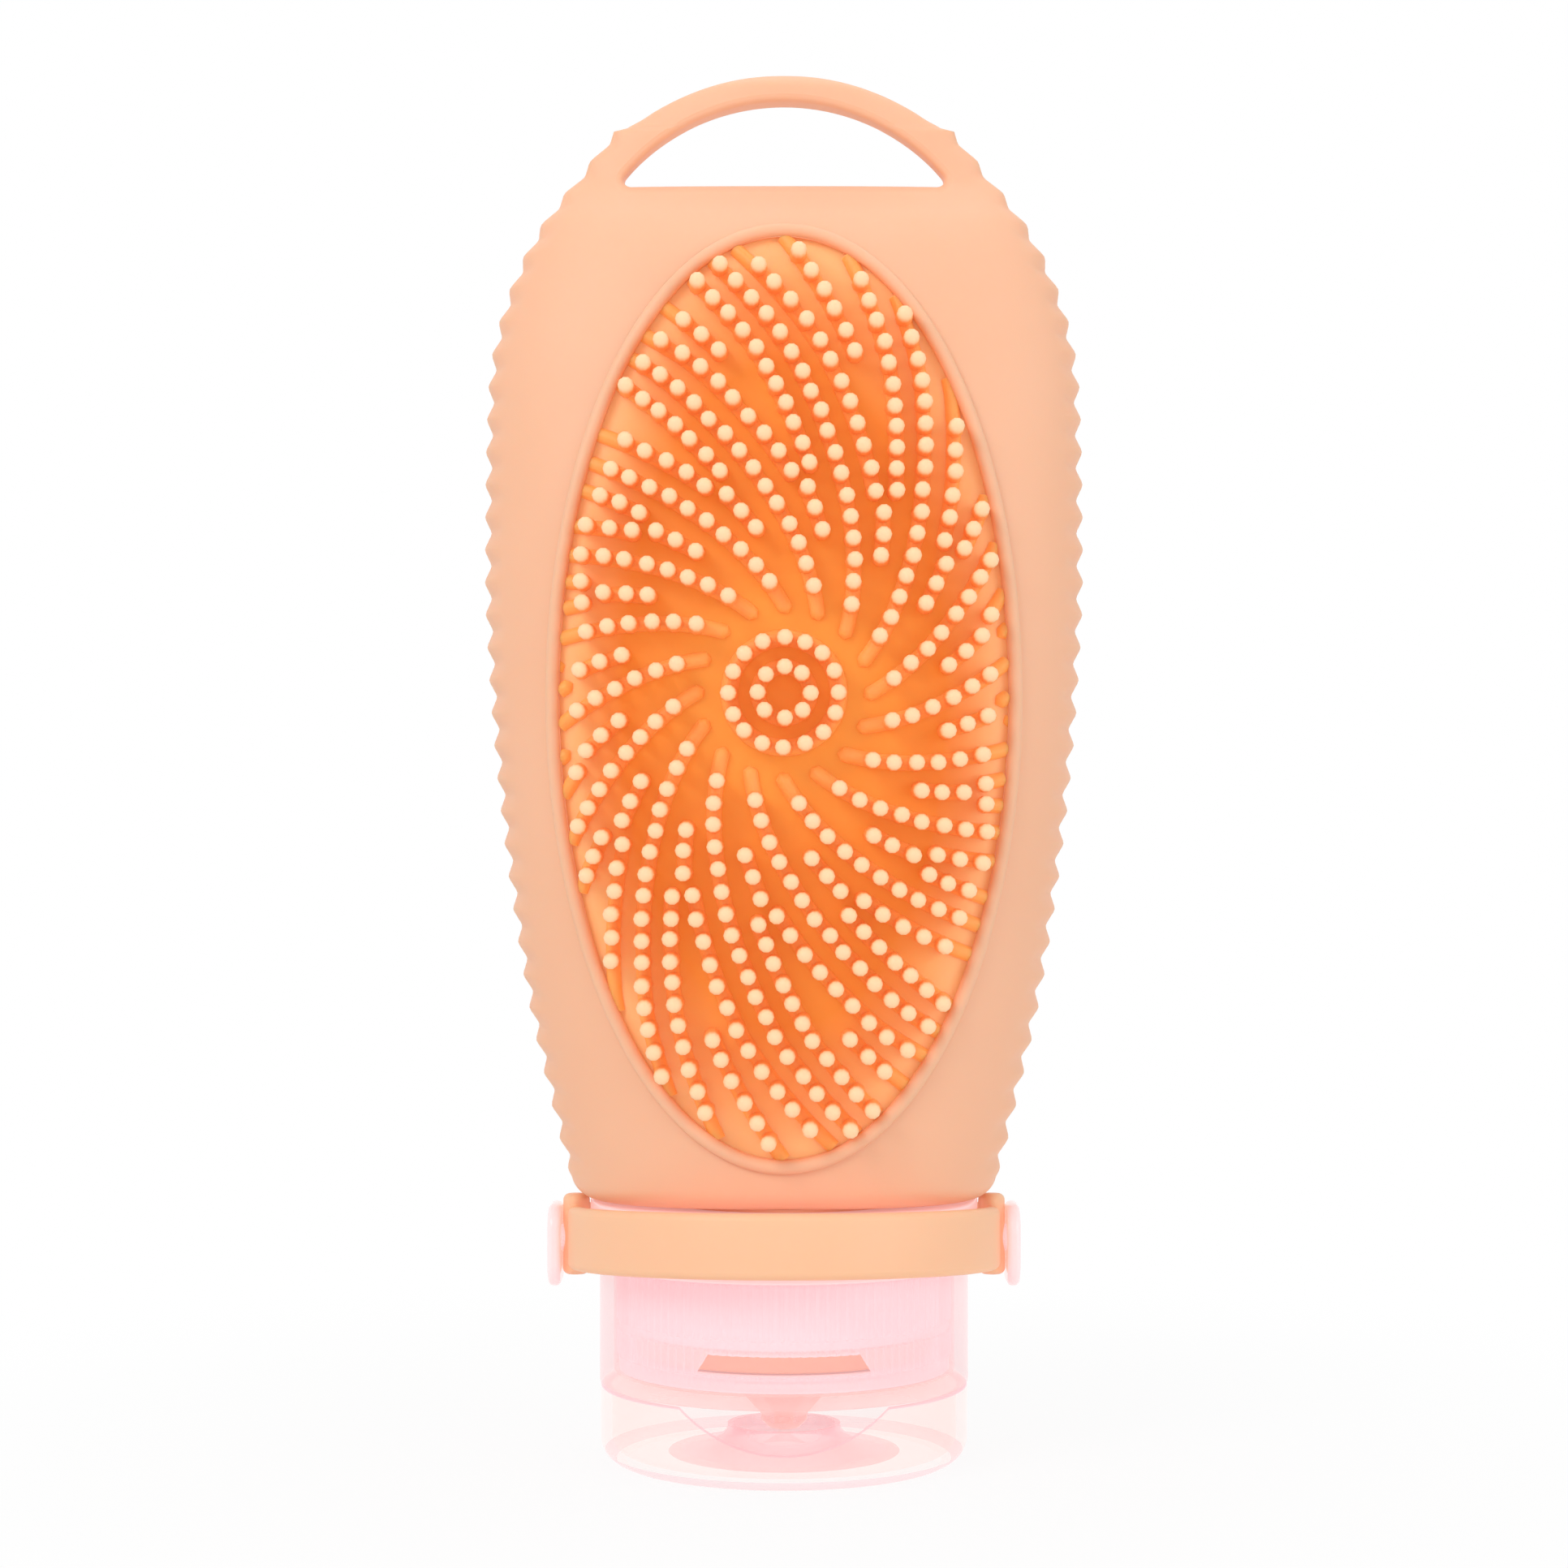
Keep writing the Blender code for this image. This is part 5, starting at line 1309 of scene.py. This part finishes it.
def make_flip_lid(sizes):
    bore = LID_RADIUS - LID_WALL
    edge = sizes.edge_radius
    pin_top = NOZZLE_TIP + PIN_REACH
    lid = turned("flip_lid_shell", rounded([
        (0, pin_top, 0), (PIN_RADIUS, pin_top, edge), (PIN_RADIUS, LID_FLOOR + PIN_FOOT_HEIGHT, edge),
        (PIN_FOOT_RADIUS, LID_FLOOR, edge), (bore, LID_FLOOR, LID_EDGE_RADIUS - LID_WALL),
        (bore, LID_HEIGHT, edge / 2), (LID_RADIUS, LID_HEIGHT, edge / 2), (LID_RADIUS, 0, LID_EDGE_RADIUS), (0, 0, 0),
    ], steps=8), closed=False)
    notch_reach = 2 * (2 * LID_WALL + LID_EDGE_RADIUS)
    notch_level = LID_HEIGHT - NOTCH_DEPTH + NOTCH_RADIUS
    notch = rod("notch", NOTCH_RADIUS, notch_reach, (0, -LID_RADIUS, notch_level), (0, 1, 0), 240)
    combine(lid, "DIFFERENCE", notch)
    combine(lid, "UNION", hinge_lug("lid_lug", LID_RADIUS, bore, LID_HEIGHT - LUG_HEIGHT))
    # The notch's cut faces and the rim's top take the denser, darker edge copy: a painted shade line. The lid's lower
    # rounded edge takes the pinker cone copy: painted pink shade.
    for name in ("clear_lid", "clear_edge", "clear_cone"):
        lid.data.materials.append(coat(name))
    for face in lid.data.polygons:
        middle, normal = face.center, face.normal
        at_notch = abs(math.hypot(middle.x, middle.z - notch_level) - NOTCH_RADIUS) < GAP / 4
        on_notch = at_notch and middle.y < -LID_RADIUS / 4 and abs(normal.y) < NOTCH_FACE_TURN
        on_rim = middle.z > LID_HEIGHT - edge and normal.z > RIM_FACE_RISE
        if on_notch or on_rim:
            face.material_index = 1
        elif middle.z < LID_EDGE_RADIUS / 2 and normal.z < 0 and math.hypot(middle.x, middle.y) > bore - edge:
            face.material_index = 2
    finish_piece(lid, "lid", "lid_plastic", "flip_lid")
    # The inner cone stands for the lid's inner ramp; its pinker cone copy of the lid plastic paints the pink flare
    # seen through the lid.
    low, high, steps = LID_FLOOR - GAP, sizes.cone_height, 12
    outer, inner = sizes.cone_radius, sizes.cone_top_radius
    flank = [
        (inner + (outer - inner) * (1 - step / steps) ** CONE_FLARE, low + (high - low) * (step / steps))
        for step in range(steps + 1)
    ]
    profile = flank + [(inner - CONE_WALL, high)] + [
        (radius - CONE_WALL, level - CONE_WALL) for radius, level in reversed(flank[1:-1])
    ] + [(outer - CONE_WALL, low)]
    finish_piece(turned("lid_cone", profile[::-1], coat("clear_cone")), "lid", "lid_plastic")


def slit_valve():
    """A dished disc with a cross slit."""
    top, floor = VALVE_HIGH.z, VALVE_HIGH.z - VALVE_THICKNESS
    dish, steps = VALVE_HOLE_RADIUS - GAP - VALVE_THICKNESS / 2, 8
    bowl = [(dish * step / steps, VALVE_DIP * (1 - (step / steps) ** 2)) for step in range(steps + 1)]
    profile = [(radius, top - drop) for radius, drop in bowl] + [(VALVE_HIGH.x, top), (VALVE_HIGH.x, floor)]
    profile += [(radius, floor - drop) for radius, drop in reversed(bowl)]
    valve = turned("cross_slit_valve", profile, coat("seal_skin"), closed=False, sides=96)
    for wide, deep in ((SLIT_LENGTH, SLIT_WIDTH), (SLIT_WIDTH, SLIT_LENGTH)):
        low, high = (-wide / 2, -deep / 2, floor - VALVE_DIP - OVERRUN), (wide / 2, deep / 2, top + OVERRUN)
        combine(valve, "DIFFERENCE", block("slit", low, high))
    return valve


def make_inner_pieces(sizes):
    edge = sizes.edge_radius / 2
    plastic, seal = coat("clear_insert"), coat("seal_skin")
    flange_top, insert_radius = INSERT_LOW.z + INSERT_FLANGE, NECK_BORE_RADIUS - GAP
    insert = turned("neck_ring", rounded([
        (insert_radius, INSERT_HIGH.z, edge), (insert_radius, flange_top, edge), (LIP_RADIUS, flange_top, edge),
        (LIP_RADIUS, INSERT_LOW.z, edge), (PASSAGE_RADIUS, INSERT_LOW.z, edge), (PASSAGE_RADIUS, INSERT_HIGH.z, edge),
    ], closed=True), plastic)
    finish_piece(insert, "bottle", "insert_plastic", "neck_insert")
    profile = ring_profile(WASHER_HIGH.x, PASSAGE_RADIUS, WASHER_LOW.z, WASHER_HIGH.z, edge)
    finish_piece(turned("flat_washer", profile, seal), "seal", "seal_silicone", "seal_washer")
    bore = RETAINER_HIGH.x - RETAINER_WIDTH
    profile = ring_profile(RETAINER_HIGH.x, bore, RETAINER_LOW.z, RETAINER_HIGH.z, edge)
    finish_piece(turned("valve_ring", profile, plastic), "cap", "insert_plastic", "valve_retainer")
    finish_piece(slit_valve(), "cap", "seal_silicone", "slit_valve")


# Finishes


def linear(screen_colour):
    """A screen colour as the linear colour that shaders take."""
    return [
        part / 12.92 if part <= 0.04045 else ((part + 0.055) / 1.055) ** 2.4 for part in screen_colour
    ] + [1.0]


def soft_skin():
    """The effect of moulded silicone: a slow mottle in its colour and a fine matt grain."""
    form = group_tree("soft_skin", "ShaderNodeTree", {
        "Colour": WHITE, "Mottle": 0.05, "Mottle scale": 60.0, "Grain scale": 2500.0,
    }, {"Colour": "Color", "Height": "Float"})
    share = form.noise("Mottle scale", 2) * form["Mottle"]
    darker = form.put("ShaderNodeHueSaturation", {"Saturation": 1.15, "Value": 0.9, "Color": form["Colour"]})
    colour = form.put("ShaderNodeMixRGB", (share, form["Colour"], darker))
    return form.give(colour, form.noise("Grain scale", 1))


def clear_haze():
    """The effect of clear moulded plastic: a slight cloudiness in its colour and its gloss."""
    form = group_tree("clear_haze", "ShaderNodeTree", {
        "Colour": WHITE, "Roughness": 0.15, "Haze": 0.1, "Haze scale": 90.0,
    }, {"Colour": "Color", "Roughness": "Float"})
    cloud = form.noise("Haze scale", 2) * form["Haze"]
    pale = form.put("ShaderNodeMixRGB", (cloud, form["Colour"], WHITE))
    return form.give(pale, form["Roughness"] + cloud)


def new_surface(name):
    """A new material, its tree and its Principled shader."""
    material = bpy.data.materials.new(name)
    material.use_nodes = True
    return material, FormTree(material.node_tree), material.node_tree.nodes["Principled BSDF"]


def place_effect(form, name, make, values):
    """Places an effect's group, which is built on its first use, in a material with its own values."""
    return form.put("ShaderNodeGroup", values, node_tree=bpy.data.node_groups.get(name) or make())


def silicone(name, screen_colour, depth_of_glow=0.003, mottle=0.3, glow=0.25, painted_glow=0.0):
    """Matt, slightly translucent silicone. Its painted glow is an emission in its own colour that lifts its shade and
    stands for the light that comes through it from behind.
    """
    material, form, surface = new_surface(name)
    colour = linear(screen_colour)
    skin = place_effect(form, "soft_skin", soft_skin, {"Colour": colour, "Mottle": mottle})
    grain = form.put("ShaderNodeBump", {
        "Strength": GRAIN_STRENGTH, "Distance": GRAIN_DEPTH, "Height": skin.out("Height"),
    })
    form.feed(surface, {
        "Base Color": skin, "Normal": grain, "Roughness": 0.5, "Specular IOR Level": 0.35, "Subsurface Weight": glow,
        "Subsurface Radius": (1.0, 0.45, 0.25), "Subsurface Scale": depth_of_glow, "Emission Color": colour,
        "Emission Strength": painted_glow,
    })
    return material


def graded_silicone(name, start_colour, end_colour, share_name, places, **looks):
    """Silicone that runs from one colour to another as the piece's named share goes from place to place; its painted
    glow runs with the same colours.
    """
    material = silicone(name, start_colour, **looks)
    form = FormTree(material.node_tree)
    share = form.put("ShaderNodeAttribute", (), "Fac", attribute_name=share_name)
    ramp = form.put("ShaderNodeValToRGB", (share,))
    for stop, screen_colour, place in zip(ramp.socket.node.color_ramp.elements, (start_colour, end_colour), places):
        stop.position = place
        stop.color = linear(screen_colour)
    form.feed(next(node for node in form.tree.nodes if node.type == "GROUP"), {"Colour": ramp})
    form.feed(form.tree.nodes["Principled BSDF"], {"Emission Color": ramp})
    return material


def clear_plastic(name, screen_colour, cover, painted_glow=0.1):
    """Tinted clear plastic, of which each wall covers a share of what lies behind it, and more where it turns away.

    Its shadow is fainter than its cover, because such plastic lets most light in. Its painted glow is an emission in
    its own colour that lifts the shade of its walls and of what lies inside them.
    """
    material, form, surface = new_surface(name)
    colour = linear(screen_colour)
    haze = place_effect(form, "clear_haze", clear_haze, {"Colour": colour, "Roughness": 0.12})
    turned_away = form.put("ShaderNodeLayerWeight", {"Blend": 0.3}, "Facing")
    covered = form.put("ShaderNodeMapRange", {
        "Value": turned_away, "To Min": cover, "To Max": min(1, cover * EDGE_COVER),
    })
    in_shadow = form.put("ShaderNodeLightPath", (), "Is Shadow Ray")
    shaded = form.put("ShaderNodeMapRange", {"Value": in_shadow, "To Min": 1, "To Max": SHADOW_COVER})
    form.feed(surface, {
        "Base Color": haze, "Roughness": haze.out("Roughness"), "Alpha": covered * shaded, "Specular IOR Level": 0.5,
        "Emission Color": colour, "Emission Strength": painted_glow,
    })
    return material


# How each finish is made: its kind, the names of its colours and its values. The emission strength among the values
# is a painted glow that lifts shade.
COATS = {
    "body_skin": (silicone, ("silicone",), {}),
    # Painted shade: the pad darkens from the paler orange by the rim to deep orange among the bristles.
    "pad_skin": (graded_silicone, ("floor", "lit_pad_edge"), {
        "share_name": "edge_share", "places": (0.72, 0.97), "glow": 0.7, "painted_glow": 0.2,
    }),
    "rib_skin": (silicone, ("rib",), {"glow": 0.7, "painted_glow": 0.15}),
    # Painted light: the bristles pale from rib orange at their shaded feet to cream at their lit tips.
    "bristle_skin": (graded_silicone, ("rib", "tip"), {
        "share_name": "tip_share", "places": (0.6, 0.96), "depth_of_glow": 0.001, "mottle": 0.0, "glow": 0.2,
        "painted_glow": 0.1,
    }),
    "strap_skin": (silicone, ("strap",), {"painted_glow": 0.05}),
    "seal_skin": (silicone, ("seal",), {}),
    "clear_collar": (clear_plastic, ("pale",), {"cover": 0.7, "painted_glow": 0.2}),
    "clear_cap": (clear_plastic, ("pink",), {"cover": 0.19}),
    # The deck, lid, edge and cone coats are copies of one cap plastic whose colours, covers and painted glows paint
    # how light and shade fall through it.
    "clear_deck": (clear_plastic, ("deck",), {"cover": 0.28, "painted_glow": 0.24}),
    "clear_sleeve": (clear_plastic, ("mist",), {"cover": 0.4, "painted_glow": 0.24}),
    "clear_lid": (clear_plastic, ("lid",), {"cover": 0.1, "painted_glow": 0.19}),
    "clear_edge": (clear_plastic, ("edge",), {"cover": 0.45, "painted_glow": 0.2}),
    "clear_cone": (clear_plastic, ("cone",), {"cover": 0.27, "painted_glow": 0.22}),
    "clear_insert": (clear_plastic, ("pale",), {"cover": 0.4, "painted_glow": 0.15}),
}


def coat(name):
    """A finish of the table above, which is made on its first use."""
    make, colours, values = COATS[name]
    finishes = bpy.context.scene.bottle_finish
    return bpy.data.materials.get(name) or make(name, *(getattr(finishes, word) for word in colours), **values)


# Stage


def add_lamp(name, place, size, power):
    """A round lamp that shines on the bottle's middle."""
    lamp = bpy.data.lights.new(name, "AREA")
    lamp.shape = "DISK"
    lamp.size = size
    lamp.energy = power
    made = bpy.data.objects.new(name, lamp)
    made.location = place
    made.rotation_euler = (Vector((0, 0, BODY_TOP / 2)) - Vector(place)).to_track_quat("-Z", "Y").to_euler()
    bpy.context.scene.collection.objects.link(made)


def seen_directly(form):
    """1 for camera, glossy and transmission rays, and 0 for the rest."""
    path = form.put("ShaderNodeLightPath", (), "Is Camera Ray")
    either = form.sum("MAXIMUM", path, path.out("Is Glossy Ray"))
    return form.sum("MAXIMUM", either, path.out("Is Transmission Ray"))


def white_floor():
    """A floor that shows white with the object's faint shadow, and turns fully white further out."""
    material = bpy.data.materials.new("stage_floor")
    material.use_nodes = True
    material.node_tree.nodes.clear()
    form = FormTree(material.node_tree)
    place = form.put("ShaderNodeTexCoord", (), "Object")
    reach = form.put("ShaderNodeVectorMath", (place,), "Value", operation="LENGTH")
    white_share = form.put("ShaderNodeMapRange", {
        "Value": reach, "From Min": SHADOW_REACH, "From Max": WHITE_REACH, "To Min": WHITE_START,
    }, interpolation_type="SMOOTHSTEP")
    paint = form.put("ShaderNodeBsdfDiffuse", {"Color": (0.9, 0.9, 0.9, 1)})
    mix = form.put("ShaderNodeMixShader", (white_share * seen_directly(form), paint, form.put("ShaderNodeEmission")))
    form.put("ShaderNodeOutputMaterial", {"Surface": mix})
    return material


def make_stage(sizes):
    scene = bpy.context.scene
    camera = bpy.data.cameras.new("stage_camera")
    camera.sensor_width = SENSOR_WIDTH
    camera.lens = SENSOR_WIDTH * sizes.camera_distance / sizes.picture_width
    viewer = bpy.data.objects.new("stage_camera", camera)
    viewer.location = (0, -sizes.camera_distance, sizes.camera_level)
    viewer.rotation_euler = (math.pi / 2, 0, 0)
    scene.collection.objects.link(viewer)
    scene.camera = viewer

    shape = bmesh.new()
    bmesh.ops.create_circle(shape, cap_ends=True, segments=96, radius=FLOOR_RADIUS)
    piece_from("stage_floor", shape, white_floor())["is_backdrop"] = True
    for word, place, size in LAMPS:
        add_lamp(f"{word}_lamp", place, size, getattr(sizes, word))

    world = bpy.data.worlds.new("stage_world")
    scene.world = world
    world.use_nodes = True
    form = FormTree(world.node_tree)
    sky = form.put("ShaderNodeMapRange", {"Value": seen_directly(form), "To Min": sizes.sky, "To Max": 1.0})
    form.feed(world.node_tree.nodes["Background"], {"Color": WHITE, "Strength": sky})
    scene.view_settings.view_transform = "Standard"
    scene.cycles.transparent_max_bounces = CLEAR_WALLS


# Operators and panel


class BRUSHBOTTLE_OT_stage(bpy.types.Operator):
    """Make the floor, the light and the camera"""
    bl_idname = "brush_bottle.stage"
    bl_label = "Stage"

    def execute(self, context):
        make_stage(context.scene.bottle_stage)
        return {"FINISHED"}


class BRUSHBOTTLE_OT_body(bpy.types.Operator):
    """Make the soft bottle with its grip ridges and hanging loop"""
    bl_idname = "brush_bottle.body"
    bl_label = "Bottle body"

    def execute(self, context):
        make_bottle_body(context.scene.bottle_body)
        return {"FINISHED"}


class BRUSHBOTTLE_OT_rim(bpy.types.Operator):
    """Make the rounded rim round the brush"""
    bl_idname = "brush_bottle.rim"
    bl_label = "Rim bead"

    def execute(self, context):
        make_rim_bead(context.scene.bottle_body)
        return {"FINISHED"}


class BRUSHBOTTLE_OT_brush(bpy.types.Operator):
    """Make the pad, its ribs and its swirling rows of bristles"""
    bl_idname = "brush_bottle.brush"
    bl_label = "Brush pad"

    def execute(self, context):
        make_brush_pad(context.scene.bottle_brush)
        return {"FINISHED"}


class BRUSHBOTTLE_OT_collar(bpy.types.Operator):
    """Make the collar with its posts, heads and thread"""
    bl_idname = "brush_bottle.collar"
    bl_label = "Collar"

    def execute(self, context):
        make_collar(context.scene.bottle_cap)
        return {"FINISHED"}


class BRUSHBOTTLE_OT_strap(bpy.types.Operator):
    """Make the strap that is buttoned over the collar's posts"""
    bl_idname = "brush_bottle.strap"
    bl_label = "Strap"

    def execute(self, context):
        make_strap()
        return {"FINISHED"}


class BRUSHBOTTLE_OT_cap(bpy.types.Operator):
    """Make the screw cap with its nozzle and living hinge"""
    bl_idname = "brush_bottle.cap"
    bl_label = "Screw cap"

    def execute(self, context):
        make_cap_base(context.scene.bottle_cap)
        return {"FINISHED"}


class BRUSHBOTTLE_OT_sleeve(bpy.types.Operator):
    """Make the knurled sleeve inside the cap"""
    bl_idname = "brush_bottle.sleeve"
    bl_label = "Knurled sleeve"

    def execute(self, context):
        make_thread_sleeve(context.scene.bottle_cap)
        return {"FINISHED"}


class BRUSHBOTTLE_OT_lid(bpy.types.Operator):
    """Make the flip lid with its thumb notch and inner cone"""
    bl_idname = "brush_bottle.lid"
    bl_label = "Flip lid"

    def execute(self, context):
        make_flip_lid(context.scene.bottle_cap)
        return {"FINISHED"}


class BRUSHBOTTLE_OT_inner(bpy.types.Operator):
    """Make the neck ring, the washer and the slit valve with its ring"""
    bl_idname = "brush_bottle.inner"
    bl_label = "Inner pieces"

    def execute(self, context):
        make_inner_pieces(context.scene.bottle_cap)
        return {"FINISHED"}


class BRUSHBOTTLE_PT_panel(bpy.types.Panel):
    bl_idname = "BRUSHBOTTLE_PT_panel"
    bl_label = "Brush Bottle"
    bl_space_type = "VIEW_3D"
    bl_region_type = "UI"
    bl_category = "Brush Bottle"

    def draw(self, context):
        for operator in OPERATORS:
            self.layout.operator(operator.bl_idname)
        for group in GROUPS:
            box = self.layout.box()
            settings = getattr(context.scene, group)
            for name in settings.__annotations__:
                box.prop(settings, name)


GROUPS = {
    "bottle_body": BodySizes, "bottle_brush": BrushSizes, "bottle_cap": CapSizes, "bottle_finish": Finishes,
    "bottle_stage": StageSizes,
}
OPERATORS = (
    BRUSHBOTTLE_OT_stage, BRUSHBOTTLE_OT_body, BRUSHBOTTLE_OT_rim, BRUSHBOTTLE_OT_brush, BRUSHBOTTLE_OT_collar,
    BRUSHBOTTLE_OT_strap, BRUSHBOTTLE_OT_cap, BRUSHBOTTLE_OT_sleeve, BRUSHBOTTLE_OT_lid, BRUSHBOTTLE_OT_inner,
)


def register():
    for group in GROUPS.values():
        bpy.utils.register_class(group)
    for operator in OPERATORS:
        bpy.utils.register_class(operator)
    bpy.utils.register_class(BRUSHBOTTLE_PT_panel)
    for name, group in GROUPS.items():
        setattr(bpy.types.Scene, name, PointerProperty(type=group))


def unregister():
    for name in GROUPS:
        delattr(bpy.types.Scene, name)
    bpy.utils.unregister_class(BRUSHBOTTLE_PT_panel)
    for made in reversed((*GROUPS.values(), *OPERATORS)):
        bpy.utils.unregister_class(made)


def corners():
    """The lowest and highest corner of what shows, as plain lists."""
    return [list(corner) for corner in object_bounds()]


def main():
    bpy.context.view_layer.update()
    register()
    bpy.ops.brush_bottle.stage()
    bpy.ops.brush_bottle.body()
    bpy.ops.brush_bottle.rim()
    bpy.ops.brush_bottle.brush()
    bpy.ops.brush_bottle.collar()
    bpy.ops.brush_bottle.strap()
    bpy.ops.brush_bottle.cap()
    bpy.ops.brush_bottle.sleeve()
    bpy.ops.brush_bottle.lid()
    bpy.ops.brush_bottle.inner()


if __name__ == "__main__":
    main()
